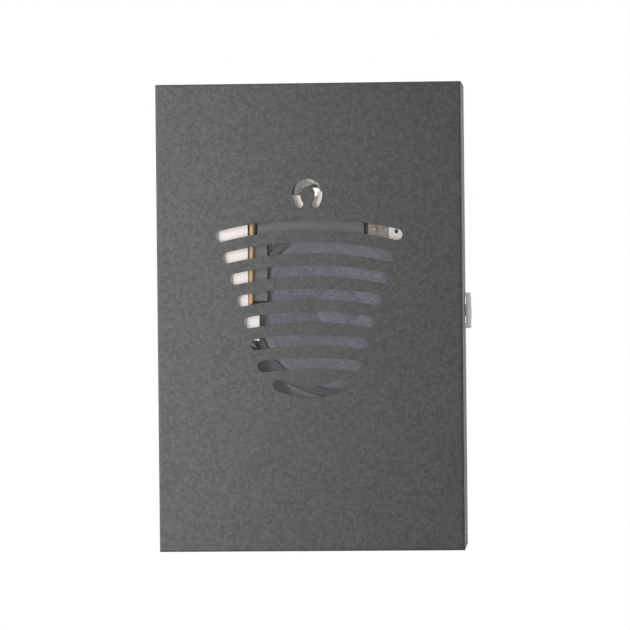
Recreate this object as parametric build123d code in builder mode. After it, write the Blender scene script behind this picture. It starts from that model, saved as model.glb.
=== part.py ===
from build123d import *
import os
from math import cos, pi, radians, sin, sqrt, tan

# A wired door chime in a folded steel cover. The wall is the plane y = 0, the front looks along -Y,
# +Z is up and the origin is the centre of the base's wall face. Depths are counted out from the wall.

# Driving sizes, in millimetres
cover_width = 98.0
cover_height = 150.0
cover_depth = 36.0
sheet = 0.8
bend_inside_radius = 0.5
wall_gap = 0.5
side_fit = 0.4
base_floor = 2.4
base_wall = 1.8
base_wall_height = 10.0
board_standoff = 4.0
board_thickness = 1.6
speaker_x = 8.9
speaker_z = 2.6
flange_radius = 28.4
knob_z = 1.5
knob_travel = 2.0
tower_z = 40.0
wall_hole_radius = 2.25

# Flat sides of the screws, of the thin wires, of posts and cans, and of the speaker's turned pieces
shank_sides = 8
head_sides = 12
wire_sides = 6
post_sides = 20
turned_sides = 32

# Clearances shared by several pieces
body_gap = 0.3
screw_gap = 0.25
post_gap = 0.6
overrun = 1.0

# Depths of the stack behind the front sheet, from the front inwards
frame_gap = 0.75
frame_panel = 1.5
clamp_thickness = 1.0
gasket_thickness = 0.7
surround_lip = 0.25
flange_thickness = 0.8
cradle_plate = 2.5

sheet_inside = cover_depth - sheet
frame_front = sheet_inside - frame_gap
frame_back = frame_front - frame_panel
clamp_back = frame_back - clamp_thickness
gasket_back = clamp_back - gasket_thickness
flange_front = gasket_back - surround_lip
flange_back = flange_front - flange_thickness
cradle_front = flange_back
cradle_back = cradle_front - cradle_plate
board_back = base_floor + board_standoff
board_front = board_back + board_thickness


def out(depth):
    """Plane parallel to the wall, the given depth out from it, with X across and Z up."""
    return Plane.XZ.offset(depth)


def finish(part, name):
    """Name a finished sub-part and write it to its own file."""
    part.part.label = name
    export_step(part.part, "parts/" + name + ".step")


def disc(places, radius, start, end, mode=Mode.ADD):
    """Round posts or holes of one radius at the given places, from one depth to another."""
    with BuildSketch(out(start)) as rounds:
        with Locations(*places):
            Circle(radius)
    extrude(rounds.sketch, amount=end - start, mode=mode)


def block(x, z, width, height, start, end, mode=Mode.ADD):
    """A straight block centred at x and z, from one depth to another."""
    with BuildSketch(out(start)) as outline:
        with Locations((x, z)):
            Rectangle(width, height)
    extrude(outline.sketch, amount=end - start, mode=mode)


def prism(places, radius, sides, start, end, mode=Mode.ADD):
    """Faceted posts or holes of one radius at the given places, from one depth to another."""
    with BuildSketch(out(start)) as facets:
        with Locations(*places):
            RegularPolygon(radius, sides)
    extrude(facets.sketch, amount=end - start, mode=mode)


def ring_points(place, radius, depth):
    """Corners of a faceted ring about an axis that leaves the wall at the given place."""
    turns = [2 * pi * index / turned_sides for index in range(turned_sides)]
    return [Vector(place[0] + radius * cos(turn), -depth, place[1] + radius * sin(turn)) for turn in turns]


def funnel(place, start_radius, end_radius, start, end, mode=Mode.ADD):
    """A straight taper between two radii on one axis, from one depth to another."""
    back_ring = ring_points(place, start_radius, start)
    front_ring = ring_points(place, end_radius, end)
    walls = [Face(Wire.make_polygon([back_ring[index - 1], back_ring[index], front_ring[index],
                                     front_ring[index - 1]])) for index in range(turned_sides)]
    ends = [Face(Wire.make_polygon(back_ring)), Face(Wire.make_polygon(front_ring))]
    add(Solid(Shell(walls + ends)), mode=mode)


def screws(places, seat, head_radius, head_height, shank_radius, shank_length):
    """Plain pan-head screws driven towards the wall, their heads resting at the seat depth."""
    prism(places, shank_radius, shank_sides, seat - shank_length, seat)
    prism(places, head_radius, head_sides, seat, seat + head_height)


os.makedirs("parts", exist_ok=True)

# Cover: one steel sheet folded into a tray, with the sound slots cut in its face
bend_outside_radius = bend_inside_radius + sheet
seam_gap = 0.25
arch_count = 7
arch_pitch = 7.4
arch_top_z = 29.7
arch_radius = 115.0
arch_half_chord = 28.2
arch_shortening = 2.2
slot_width = 3.6
smile_half_chord = 10.2
smile_end_z = -21.7
smile_drop = 2.3
ring_x = -0.3
ring_z = 39.6
ring_radius = 3.55
ring_leg_radius = 6.3
ring_leg_angle = 32.7
ring_width = 2.45
stem_height = 4.0
stem_start = 3.7
stem_depth = 2.0
notch_height = stem_height + 2 * (knob_travel + body_gap)
notch_end = stem_start + stem_depth + body_gap

slot_lines = []
for index in range(arch_count):
    half_chord = arch_half_chord - index * arch_shortening
    top_z = arch_top_z - index * arch_pitch
    drop = arch_radius - sqrt(arch_radius**2 - half_chord**2)
    slot_lines.append(
        ThreePointArc((-half_chord, top_z - drop), (0, top_z), (half_chord, top_z - drop))
    )
slot_lines.append(
    ThreePointArc(
        (-smile_half_chord, smile_end_z), (0, smile_end_z - smile_drop), (smile_half_chord, smile_end_z)
    )
)
ring_leg_shift = ring_leg_radius - ring_radius
ring_line = Wire([
    CenterArc((ring_x - ring_leg_shift, ring_z), ring_leg_radius, -ring_leg_angle, ring_leg_angle),
    CenterArc((ring_x, ring_z), ring_radius, 0, 180),
    CenterArc((ring_x + ring_leg_shift, ring_z), ring_leg_radius, 180, ring_leg_angle),
])

with BuildPart() as cover:
    with BuildSketch(out(wall_gap)):
        Rectangle(cover_width, cover_height)
    extrude(amount=cover_depth - wall_gap)
    fillet(cover.faces().sort_by(Axis.Y)[0].edges(), radius=bend_outside_radius)
    with BuildSketch(out(wall_gap)):
        Rectangle(cover_width - 2 * sheet, cover_height - 2 * sheet)
    extrude(amount=sheet_inside - wall_gap, mode=Mode.SUBTRACT)
    fillet(cover.faces().filter_by(Plane.XZ).sort_by(Axis.Y)[1].edges(), radius=bend_inside_radius)
    # Sound slots: seven arches, one slot curved the other way below them and a broken ring above
    with BuildSketch(out(sheet_inside - overrun)):
        for line in slot_lines:
            SlotArc(line, slot_width)
        SlotArc(ring_line, ring_width)
    extrude(amount=sheet + 2 * overrun, mode=Mode.SUBTRACT)
    # Open seams where the side walls meet the top and bottom walls
    seam_z = cover_height / 2 - sheet - seam_gap / 2
    with BuildSketch(out(wall_gap)):
        with GridLocations(cover_width - sheet, 2 * seam_z, 2, 2):
            Rectangle(sheet, seam_gap)
    extrude(amount=sheet_inside - bend_inside_radius - wall_gap, mode=Mode.SUBTRACT)
    # Notch in the right wall, open at the rear edge, that passes over the slider's stem
    block(cover_width / 2, knob_z, 2 * (sheet + overrun), notch_height, 0, notch_end, Mode.SUBTRACT)
finish(cover, "cover")

# Base plate: a shallow moulded tray that is screwed to the wall
base_width = cover_width - 2 * (sheet + side_fit)
base_height = cover_height - 2 * (sheet + side_fit)
base_corner_radius = 1.5
standoff_width = 6.0
pilot_radius = 1.1
board_side_gap = 4.0
board_top_gap = 6.0
board_low_gap = 14.0
board_screw_inset = 4.0
post_radius = 3.6
post_top = 14.0
post_inset = 5.0
post_top_z = 36.5
post_low_z = -21.5
post_pilot_depth = 11.0
leg_screw_radius = 1.25
tower_outer_radius = 5.0
tower_inner_radius = 3.4
tower_top = flange_front
hole_ring_radius = 5.4
hole_ring_height = 1.2
cable_inset_x = 14.0
cable_inset_z = 12.0
lower_hole_inset = 9.8
grommet_neck_radius = 4.5
rib = 1.2
rib_height = 1.8
rib_low_insets = (5.9, 14.8)
rib_top_insets = (29.5, 4.4)
spring_inset = 17.8
spring_length = 12.0
spring_width = 5.0
spring_start = 3.4
pocket_depth = 1.0
pocket_play = 1.0

# Places across the board and the base follow the edges of the box, as insets from them
board_width = base_width - 2 * (base_wall + board_side_gap)
board_top_z = base_height / 2 - base_wall - board_top_gap
board_low_z = -(base_height / 2 - base_wall - board_low_gap)
board_screw_x = board_width / 2 - board_screw_inset
board_top_screw_z = board_top_z - board_screw_inset
board_low_screw_z = board_low_z + board_screw_inset
post_x = board_width / 2 - post_inset
cable_x = -(board_width / 2 - cable_inset_x)
cable_z = board_top_z - cable_inset_z
lower_hole_z = -(base_height / 2 - lower_hole_inset)
spring_x = base_width / 2 - spring_inset
rib_places = [inset - base_height / 2 for inset in rib_low_insets]
rib_places += [base_height / 2 - inset for inset in rib_top_insets]

board_screw_places = [
    (x, z) for x in (-board_screw_x, board_screw_x) for z in (board_low_screw_z, board_top_screw_z)
]
post_places = [(x, z) for x in (-post_x, post_x) for z in (post_low_z, post_top_z)]
wall_hole_places = [(0, tower_z), (0, lower_hole_z)]

with BuildPart() as base_plate:
    with BuildSketch(out(0)):
        RectangleRounded(base_width, base_height, base_corner_radius)
    extrude(amount=base_wall_height)
    block(0, 0, base_width - 2 * base_wall, base_height - 2 * base_wall, base_floor,
          base_wall_height, Mode.SUBTRACT)
    # Stiffening ribs across the floor
    with BuildSketch(out(base_floor)):
        for rib_z in rib_places:
            with Locations((0, rib_z)):
                Rectangle(base_width - 2 * base_wall, rib)
    extrude(amount=rib_height)
    for x, z in board_screw_places:
        block(x, z, standoff_width, standoff_width, base_floor, board_back)
    prism(post_places, post_radius, post_sides, base_floor, post_top)
    prism([(0, tower_z)], tower_outer_radius, post_sides, base_floor, tower_top)
    prism([(0, lower_hole_z)], hole_ring_radius, post_sides, base_floor, base_floor + hole_ring_height)
    prism([(cable_x, cable_z)], grommet_neck_radius + base_wall, post_sides, base_floor,
          base_floor + hole_ring_height)
    prism(board_screw_places, pilot_radius, shank_sides, base_floor, board_back, Mode.SUBTRACT)
    prism(post_places, leg_screw_radius, shank_sides, post_top - post_pilot_depth, post_top, Mode.SUBTRACT)
    prism([(0, tower_z)], tower_inner_radius, post_sides, base_floor, tower_top, Mode.SUBTRACT)
    disc(wall_hole_places, wall_hole_radius, 0, base_floor + hole_ring_height, Mode.SUBTRACT)
    prism([(cable_x, cable_z)], grommet_neck_radius, post_sides, 0, base_floor + hole_ring_height,
          Mode.SUBTRACT)
    # Notch for the slider's stem, open towards the front
    block(base_width / 2, knob_z, 2 * (base_wall + overrun), notch_height, stem_start - body_gap,
          base_wall_height + overrun, Mode.SUBTRACT)
    # Pockets in the top and bottom edges for the springs that grip the cover
    with BuildSketch(out(spring_start - pocket_play / 2)):
        with GridLocations(2 * spring_x, base_height, 2, 2):
            Rectangle(spring_length + pocket_play, 2 * pocket_depth)
    extrude(amount=spring_width + pocket_play, mode=Mode.SUBTRACT)
    # Eased rim that leads the cover on
    rim = base_plate.faces().filter_by(Plane.XZ).filter_by_position(
        Axis.Y, -base_wall_height - body_gap / 2, -base_wall_height + body_gap / 2
    )
    chamfer(rim.edges().group_by(Axis.Z)[-1] + rim.edges().group_by(Axis.Z)[0], length=side_fit)
finish(base_plate, "base_plate")

# Cover springs: four bowed strips in the pockets that hold the cover by friction
spring_thickness = 0.3
spring_crown = pocket_depth + side_fit - body_gap

with BuildPart() as cover_springs:
    for side in (-1, 1):
        for x in (-spring_x, spring_x):
            floor_z = side * (base_height / 2 - pocket_depth)
            with BuildSketch(out(spring_start)):
                with BuildLine():
                    foot = spring_length / 2
                    low = (x - foot, floor_z)
                    high = (x + foot, floor_z)
                    low_inner = (x - foot + 2 * spring_thickness, floor_z)
                    high_inner = (x + foot - 2 * spring_thickness, floor_z)
                    outer = (x, floor_z + side * spring_crown)
                    inner = (x, floor_z + side * (spring_crown - spring_thickness))
                    ThreePointArc(low, outer, high)
                    Line(high, high_inner)
                    ThreePointArc(high_inner, inner, low_inner)
                    Line(low_inner, low)
                make_face()
            extrude(amount=spring_width)
finish(cover_springs, "cover_springs")

# Cable grommet: a rubber bush in the cable hole
grommet_bore_radius = 3.0
grommet_flange = 1.6
grommet_flange_height = 1.4

with BuildPart() as cable_grommet:
    grommet_back = body_gap
    grommet_seat = base_floor + hole_ring_height
    prism([(cable_x, cable_z)], grommet_neck_radius, post_sides, grommet_back, grommet_seat)
    prism([(cable_x, cable_z)], grommet_neck_radius + grommet_flange, post_sides, grommet_seat,
          grommet_seat + grommet_flange_height)
    disc([(cable_x, cable_z)], grommet_bore_radius, 0, grommet_seat + grommet_flange_height + overrun,
         Mode.SUBTRACT)
finish(cable_grommet, "cable_grommet")

# Circuit board on the base's standoffs
board_screw_radius = 1.0
board_screw_head_radius = 2.4
board_screw_head_height = 1.5
board_screw_length = 4.8
cable_window = 16.0
magnet_window_radius = 17.0
board_height = board_top_z - board_low_z
board_middle_z = (board_top_z + board_low_z) / 2

with BuildPart() as circuit_board:
    block(0, board_middle_z, board_width, board_height, board_back, board_front)
    # Notches in the side edges that clear the base's posts
    for x, z in post_places:
        block(x * board_width / (2 * post_x), z, 2 * (board_width / 2 - post_x + post_radius + post_gap),
              2 * (post_radius + post_gap), board_back, board_front, Mode.SUBTRACT)
    prism([(0, tower_z)], tower_outer_radius + post_gap, post_sides, board_back, board_front, Mode.SUBTRACT)
    # Round window behind the loudspeaker's magnet
    prism([(speaker_x, speaker_z)], magnet_window_radius, turned_sides, board_back, board_front,
          Mode.SUBTRACT)
    prism(board_screw_places, board_screw_radius + screw_gap, shank_sides, board_back, board_front,
          Mode.SUBTRACT)
    block(cable_x, cable_z, cable_window, cable_window, board_back, board_front, Mode.SUBTRACT)
    corner_edges = circuit_board.edges().filter_by(Axis.Y)
    chamfer(corner_edges.group_by(Axis.Z)[0] + corner_edges.group_by(Axis.Z)[-1], length=base_corner_radius)
finish(circuit_board, "circuit_board")

with BuildPart() as board_screws:
    screws(board_screw_places, board_front, board_screw_head_radius, board_screw_head_height,
               board_screw_radius, board_screw_length)
finish(board_screws, "board_screws")

# Speaker cradle: a dark moulded bridge on four legs, with the ledge that the speaker sits on
cradle_side_gap = 3.0
cradle_top_z = 41.5
cradle_low_z = -27.0
cradle_skirt = 1.5
cradle_skirt_depth = 4.0
ledge = 1.8
rim_gap = 0.3
rim_width = 1.5
leg_radius = 4.4
leg_floor = 3.0
leg_head_radius = 2.6
leg_head_height = 2.0
leg_screw_length = 11.0
lead_radius = 0.6
lead_gap = 0.3
lead_bend = 1.6
white_lead_x = -18.0
white_lead_z = -9.3
brown_lead_x = -22.0
brown_lead_z = 2.3
frame_screw_radius = 1.0
frame_boss_radius = 3.2
frame_screw_inset = 5.0
frame_screw_top_z = 28.0
frame_screw_low_z = -2.9
frame_screw_pad_z = 27.2

cradle_width = base_width - 2 * (base_wall + cradle_side_gap)
frame_screw_x = cradle_width / 2 - frame_screw_inset
cradle_height = cradle_top_z - cradle_low_z
cradle_middle_z = (cradle_top_z + cradle_low_z) / 2
speaker_place = [(speaker_x, speaker_z)]
lead_hole_places = [(white_lead_x, white_lead_z), (brown_lead_x, brown_lead_z)]
frame_screw_places = [
    (-frame_screw_x, frame_screw_top_z),
    (-frame_screw_x, frame_screw_low_z),
    (frame_screw_x, frame_screw_pad_z),
]

with BuildPart() as speaker_cradle:
    block(0, cradle_middle_z, cradle_width, cradle_height, cradle_back - cradle_skirt_depth, cradle_front)
    block(0, cradle_middle_z, cradle_width - 2 * cradle_skirt, cradle_height - 2 * cradle_skirt,
          cradle_back - cradle_skirt_depth, cradle_back, Mode.SUBTRACT)
    prism(speaker_place, flange_radius + rim_gap + rim_width, turned_sides, cradle_back, flange_front)
    prism(speaker_place, flange_radius + rim_gap, turned_sides, flange_back, flange_front, Mode.SUBTRACT)
    prism(post_places, leg_radius, head_sides, post_top, cradle_back)
    prism(speaker_place, flange_radius - ledge, turned_sides, post_top, flange_front, Mode.SUBTRACT)
    prism([(0, tower_z)], tower_outer_radius + post_gap, post_sides, post_top, flange_front, Mode.SUBTRACT)
    prism(frame_screw_places, frame_screw_radius, shank_sides, cradle_back, cradle_front, Mode.SUBTRACT)
    prism(post_places, leg_head_radius + screw_gap, head_sides, post_top + leg_floor, cradle_front,
          Mode.SUBTRACT)
    prism(post_places, leg_screw_radius + screw_gap, shank_sides, post_top, post_top + leg_floor,
          Mode.SUBTRACT)
    prism(lead_hole_places, lead_radius + lead_gap, shank_sides, cradle_back - cradle_skirt_depth,
          flange_front, Mode.SUBTRACT)
finish(speaker_cradle, "speaker_cradle")

with BuildPart() as cradle_screws:
    screws(post_places, post_top + leg_floor, leg_head_radius, leg_head_height, leg_screw_radius,
               leg_screw_length)
finish(cradle_screws, "cradle_screws")

# Front frame: the pale moulding close behind the sheet, with the window that the speaker shows through
frame_width = cradle_width
window_left_x = -19.7
window_step_x = -16.2
window_step_z = 1.5
window_top_z = 31.6
window_right_x = 25.6
frame_left_low_z = -7.4
frame_right_low_z = 22.6
frame_top_left_z = 39.15
frame_top_right_z = 40.2
frame_skirt = 1.4
driver_notch_radius = 3.0
lead_notch_width = 3.4
lead_notch_height = 4.8
lead_groove_z = 3.1
lead_groove_height = 3.8
lead_groove_depth = 0.8
vent_place = [(28.0, 27.2)]
vent_radius = 0.65
frame_head_radius = 2.1
frame_head_height = 1.3
frame_screw_length = 7.5
frame_counterbore = 1.5

frame_side_x = frame_width / 2
frame_corners = [
    (-frame_side_x, frame_left_low_z),
    (window_step_x, frame_left_low_z),
    (window_step_x, window_step_z),
    (window_left_x, window_step_z),
    (window_left_x, window_top_z),
    (window_right_x, window_top_z),
    (window_right_x, frame_right_low_z),
    (frame_side_x, frame_right_low_z),
    (frame_side_x, frame_top_right_z),
    (0, frame_top_right_z),
    (0, frame_top_left_z),
    (-frame_side_x, frame_top_left_z),
]

with BuildPart() as front_frame:
    with BuildSketch(out(frame_back)):
        with BuildLine():
            Polyline(*frame_corners, close=True)
        make_face()
    extrude(amount=frame_panel)
    # Outer skirts that stand on the cradle
    left_height = frame_top_left_z - frame_left_low_z
    right_height = frame_top_right_z - frame_right_low_z
    block(-frame_side_x + frame_skirt / 2, frame_left_low_z + left_height / 2, frame_skirt, left_height,
          cradle_front, frame_back)
    block(frame_side_x - frame_skirt / 2, frame_right_low_z + right_height / 2, frame_skirt, right_height,
          cradle_front, frame_back)
    # Pillars over the cradle's holes, with counterbored screw holes
    prism(frame_screw_places, frame_boss_radius, head_sides, cradle_front, frame_back)
    prism(frame_screw_places, frame_screw_radius + screw_gap, shank_sides, cradle_front, frame_front,
          Mode.SUBTRACT)
    prism(frame_screw_places, frame_head_radius + screw_gap, head_sides, frame_front - frame_counterbore,
          frame_front, Mode.SUBTRACT)
    # Clear way for a driver to the upper wall screw, a notch for the brown lead where it comes in at the
    # window's corner and a groove from behind where it leaves
    prism([(0, frame_top_left_z)], driver_notch_radius, post_sides, frame_back, frame_front, Mode.SUBTRACT)
    block(window_left_x, window_top_z + lead_notch_height / 2, 2 * lead_notch_width, lead_notch_height,
          frame_back, frame_front, Mode.SUBTRACT)
    block(window_left_x, lead_groove_z, 2 * lead_notch_width, lead_groove_height, frame_back,
          frame_back + lead_groove_depth, Mode.SUBTRACT)
    prism(vent_place, vent_radius, head_sides, frame_back, frame_front, Mode.SUBTRACT)
    corners = front_frame.edges().filter_by(Axis.Y).filter_by(
        lambda edge: abs(abs(edge.center().X) - frame_side_x) < body_gap)
    chamfer(corners, length=frame_skirt / 3)
finish(front_frame, "front_frame")

with BuildPart() as frame_screws:
    screws(frame_screw_places, frame_front - frame_counterbore, frame_head_radius, frame_head_height,
               frame_screw_radius, frame_screw_length)
finish(frame_screws, "frame_screws")

# Loudspeaker: pressed basket, ferrite magnet, coil, spider, cone, surround and gasket on one axis
speaker_centre = speaker_place[0]
pole_radius = 5.0
coil_gap = 0.3
former_wall = 0.3
winding_wall = 0.4
plate_radius = 14.5
plate_thickness = 2.0
magnet_radius = 16.0
magnet_bore_radius = 8.5
magnet_thickness = 6.0
yoke_thickness = 2.2
basket_depth = 8.0
basket_sheet = 0.7
basket_hole_radius = 8.0
basket_step_radius = 13.2
basket_step = 1.1
basket_wall_radius = 15.3
basket_mouth_radius = 26.0
window_count = 5
window_inner_radius = 16.6
window_outer_radius = 24.0
window_angle = 48
cone_radius = 21.6
cone_paper = 0.5
cone_depth = 5.4
surround_radius = 25.8
roll_height = 0.45
roll_width = 1.2
spider_radius = 14.6
spider_cloth = 0.35
dust_cap_radius = 7.0
dust_cap_height = 2.4
dust_cap_paper = 0.35
cap_shoulder_share = 0.6
cap_shoulder_radius_share = 0.76
cap_crown_radius_share = 0.36
winding_length = 3.4

basket_floor = flange_back - basket_depth
basket_ledge = basket_floor + basket_step + basket_sheet
plate_back = basket_floor - plate_thickness
magnet_back = plate_back - magnet_thickness
yoke_back = magnet_back - yoke_thickness
former_radius = pole_radius + coil_gap
former_outer = former_radius + former_wall
winding_outer = former_outer + winding_wall
plate_bore_radius = winding_outer + coil_gap
cone_rim = flange_front - surround_lip
cone_neck = cone_rim - cone_depth


with BuildPart() as speaker_basket:
    prism(speaker_place, basket_step_radius, turned_sides, basket_floor, basket_ledge)
    funnel(speaker_centre, basket_wall_radius, basket_mouth_radius, basket_floor + basket_step, flange_back)
    prism(speaker_place, flange_radius, turned_sides, flange_back, flange_front)
    prism(speaker_place, basket_mouth_radius - basket_sheet, turned_sides, flange_back, flange_front,
          Mode.SUBTRACT)
    funnel(speaker_centre, basket_wall_radius - basket_sheet, basket_mouth_radius - basket_sheet,
           basket_ledge, flange_back, Mode.SUBTRACT)
    prism(speaker_place, basket_step_radius - basket_sheet, turned_sides, basket_floor + basket_sheet,
          basket_ledge, Mode.SUBTRACT)
    prism(speaker_place, basket_hole_radius, turned_sides, basket_floor, basket_ledge, Mode.SUBTRACT)
    # Windows pressed through the sloping wall
    inner_half = window_inner_radius * tan(radians(window_angle / 2))
    outer_half = window_outer_radius * tan(radians(window_angle / 2))
    with BuildSketch(out(basket_floor)):
        with Locations(speaker_centre):
            with PolarLocations(0, window_count):
                Polygon((window_inner_radius, -inner_half), (window_outer_radius, -outer_half),
                        (window_outer_radius, outer_half), (window_inner_radius, inner_half), align=None)
    extrude(amount=basket_depth, mode=Mode.SUBTRACT)
finish(speaker_basket, "speaker_basket")

with BuildPart() as speaker_yoke:
    prism(speaker_place, plate_radius, turned_sides, yoke_back, magnet_back)
    prism(speaker_place, pole_radius, turned_sides, magnet_back, basket_floor)
finish(speaker_yoke, "speaker_yoke")

with BuildPart() as speaker_magnet:
    prism(speaker_place, magnet_radius, turned_sides, magnet_back, plate_back)
    prism(speaker_place, magnet_bore_radius, turned_sides, magnet_back, plate_back, Mode.SUBTRACT)
finish(speaker_magnet, "speaker_magnet")

with BuildPart() as speaker_top_plate:
    prism(speaker_place, plate_radius, turned_sides, plate_back, basket_floor)
    prism(speaker_place, plate_bore_radius, turned_sides, plate_back, basket_floor, Mode.SUBTRACT)
finish(speaker_top_plate, "speaker_top_plate")

with BuildPart() as voice_coil:
    winding_start = plate_back - (winding_length - plate_thickness) / 2
    prism(speaker_place, former_outer, turned_sides, winding_start, cone_neck)
    prism(speaker_place, winding_outer, turned_sides, winding_start, winding_start + winding_length)
    prism(speaker_place, former_radius, turned_sides, winding_start, cone_neck, Mode.SUBTRACT)
finish(voice_coil, "voice_coil")

# Centring spider: a cloth ring that holds the former in line
with BuildPart() as centring_spider:
    spider_front = basket_ledge + spider_cloth
    prism(speaker_place, spider_radius, turned_sides, basket_ledge, spider_front)
    prism(speaker_place, former_outer, turned_sides, basket_ledge, spider_front, Mode.SUBTRACT)
finish(centring_spider, "centring_spider")

# Cone: a paper funnel that opens to the front, glued to the coil's former at its neck
with BuildPart() as speaker_cone:
    funnel(speaker_centre, former_outer, cone_radius, cone_neck, cone_rim)
    prism(speaker_place, cone_radius, turned_sides, cone_rim, cone_rim + cone_paper)
    funnel(speaker_centre, former_outer, cone_radius, cone_neck + cone_paper, cone_rim + cone_paper,
           Mode.SUBTRACT)
    prism(speaker_place, former_radius, turned_sides, cone_neck, cone_neck + cone_paper, Mode.SUBTRACT)
finish(speaker_cone, "speaker_cone")

# Surround: a thin ring glued between the flange and the gasket, with a raised roll
with BuildPart() as speaker_surround:
    roll_radius = (cone_radius + surround_radius) / 2
    lip_radius = flange_radius - ledge / 2
    prism(speaker_place, lip_radius, turned_sides, flange_front, gasket_back)
    funnel(speaker_centre, roll_radius + roll_width, roll_radius + roll_width / 2, gasket_back,
           gasket_back + roll_height)
    funnel(speaker_centre, roll_radius - roll_width, roll_radius - roll_width / 2, gasket_back,
           gasket_back + roll_height, Mode.SUBTRACT)
    prism(speaker_place, cone_radius, turned_sides, flange_front, gasket_back, Mode.SUBTRACT)
finish(speaker_surround, "speaker_surround")

# Dust cap: a shallow paper dome over the coil
with BuildPart() as dust_cap:
    cap_foot = cone_neck + cone_depth * (dust_cap_radius - former_outer) / (cone_radius - former_outer)
    cap_foot += cone_paper
    cap_shoulder = cap_foot + dust_cap_height * cap_shoulder_share
    cap_front = cap_foot + dust_cap_height
    shoulder_radius = dust_cap_radius * cap_shoulder_radius_share
    crown_radius = dust_cap_radius * cap_crown_radius_share
    funnel(speaker_centre, dust_cap_radius, shoulder_radius, cap_foot, cap_shoulder)
    funnel(speaker_centre, shoulder_radius, crown_radius, cap_shoulder, cap_front)
    funnel(speaker_centre, dust_cap_radius - dust_cap_paper, shoulder_radius - dust_cap_paper, cap_foot,
           cap_shoulder - dust_cap_paper, Mode.SUBTRACT)
finish(dust_cap, "dust_cap")

with BuildPart() as speaker_gasket:
    prism(speaker_place, flange_radius, turned_sides, gasket_back, clamp_back)
    prism(speaker_place, surround_radius, turned_sides, gasket_back, clamp_back, Mode.SUBTRACT)
finish(speaker_gasket, "speaker_gasket")

# Speaker clamp: an L of plated steel trapped under the front frame, pressing on the gasket
clamp_left_x = -23.2
clamp_leg_right_x = -13.4
clamp_right_x = 17.8
clamp_low_z = 24.8
clamp_leg_low_z = 5.0
clamp_top_z = 32.5
clamp_leg_top_z = 27.0
clamp_notch_x = -16.9

clamp_corners = [
    (clamp_left_x, clamp_leg_low_z),
    (clamp_leg_right_x, clamp_leg_low_z),
    (clamp_leg_right_x, clamp_low_z),
    (clamp_right_x, clamp_low_z),
    (clamp_right_x, clamp_top_z),
    (clamp_notch_x, clamp_top_z),
    (clamp_notch_x, clamp_leg_top_z),
    (clamp_left_x, clamp_leg_top_z),
]

with BuildPart() as speaker_clamp:
    with BuildSketch(out(clamp_back)):
        with BuildLine():
            Polyline(*clamp_corners, close=True)
        make_face()
    extrude(amount=clamp_thickness)
    fillet(speaker_clamp.edges().filter_by(Axis.Y).group_by(Axis.X)[-1], radius=clamp_thickness)
finish(speaker_clamp, "speaker_clamp")

# Tag strip over the flange's upper right edge, with the two soldered lugs that the leads end at
strip_left_x = 18.9
strip_right_x = 26.4
strip_low_z = 24.2
strip_top_z = 31.5
strip_thickness = 0.7
lug_width = 1.8
lug_thickness = 0.25
lug_low_z = 26.2
brown_run_z = 33.2
white_run_z = 34.5
lug_x_shares = (0.24, 0.76)
rivet_radius = 0.9
rivet_height = 0.3
strip_width = strip_right_x - strip_left_x
strip_height = strip_top_z - strip_low_z
lug_places = [strip_left_x + share * strip_width for share in lug_x_shares]
lug_back = clamp_back + strip_thickness

with BuildPart() as tag_strip:
    block(strip_left_x + strip_width / 2, strip_low_z + strip_height / 2, strip_width, strip_height,
          clamp_back, lug_back)
    chamfer(tag_strip.edges().filter_by(Axis.Y), length=strip_thickness / 2)
finish(tag_strip, "tag_strip")

with BuildPart() as tag_lugs:
    for lug_x, run_z in zip(lug_places, (brown_run_z, white_run_z)):
        lug_height = run_z + lead_radius - lug_low_z
        block(lug_x, lug_low_z + lug_height / 2, lug_width, lug_height, lug_back, lug_back + lug_thickness)
    prism([(lug_x, lug_low_z + lug_width) for lug_x in lug_places], rivet_radius, head_sides,
          lug_back + lug_thickness, lug_back + lug_thickness + rivet_height)
finish(tag_lugs, "tag_lugs")

# Speaker leads from the tag strip to the board
run_depth = lug_back - lead_radius
brown_top_x = -18.3
brown_bottom_x = -18.9
brown_front_depth = frame_back + lead_radius + lead_gap / 2
brown_groove_depth = clamp_back + lead_radius + lead_gap
brown_top_z = 29.6
brown_bottom_z = 4.7
brown_groove_x = -19.7
brown_groove_z = 3.0
white_turn_x = -24.6
white_low_z = -3.5


def wire(points):
    """Round insulated wire along straight runs and small bends, through points as x, depth and z."""
    with BuildLine() as centre:
        FilletPolyline(*[(x, -depth, z) for x, depth, z in points], radius=lead_bend)
    start = centre.line @ 0
    with BuildSketch(Plane(origin=start, z_dir=centre.line % 0)) as section:
        RegularPolygon(lead_radius, wire_sides)
    sweep(section.sketch, path=centre.line)


brown_points = [
    (lug_places[0], run_depth, brown_run_z),
    (brown_top_x, run_depth, brown_run_z),
    (brown_top_x, brown_front_depth, brown_top_z),
    (brown_bottom_x, brown_front_depth, brown_bottom_z),
    (brown_groove_x, brown_groove_depth, brown_groove_z),
    (brown_lead_x, brown_groove_depth, brown_lead_z),
    (brown_lead_x, board_front, brown_lead_z),
]
white_points = [
    (lug_places[1], run_depth, white_run_z),
    (white_turn_x, run_depth, white_run_z),
    (white_turn_x, run_depth, white_low_z),
    (white_lead_x, run_depth, white_lead_z),
    (white_lead_x, board_front, white_lead_z),
]

with BuildPart() as brown_lead:
    wire(brown_points)
finish(brown_lead, "brown_lead")

with BuildPart() as white_lead:
    wire(white_points)
finish(white_lead, "white_lead")

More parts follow.
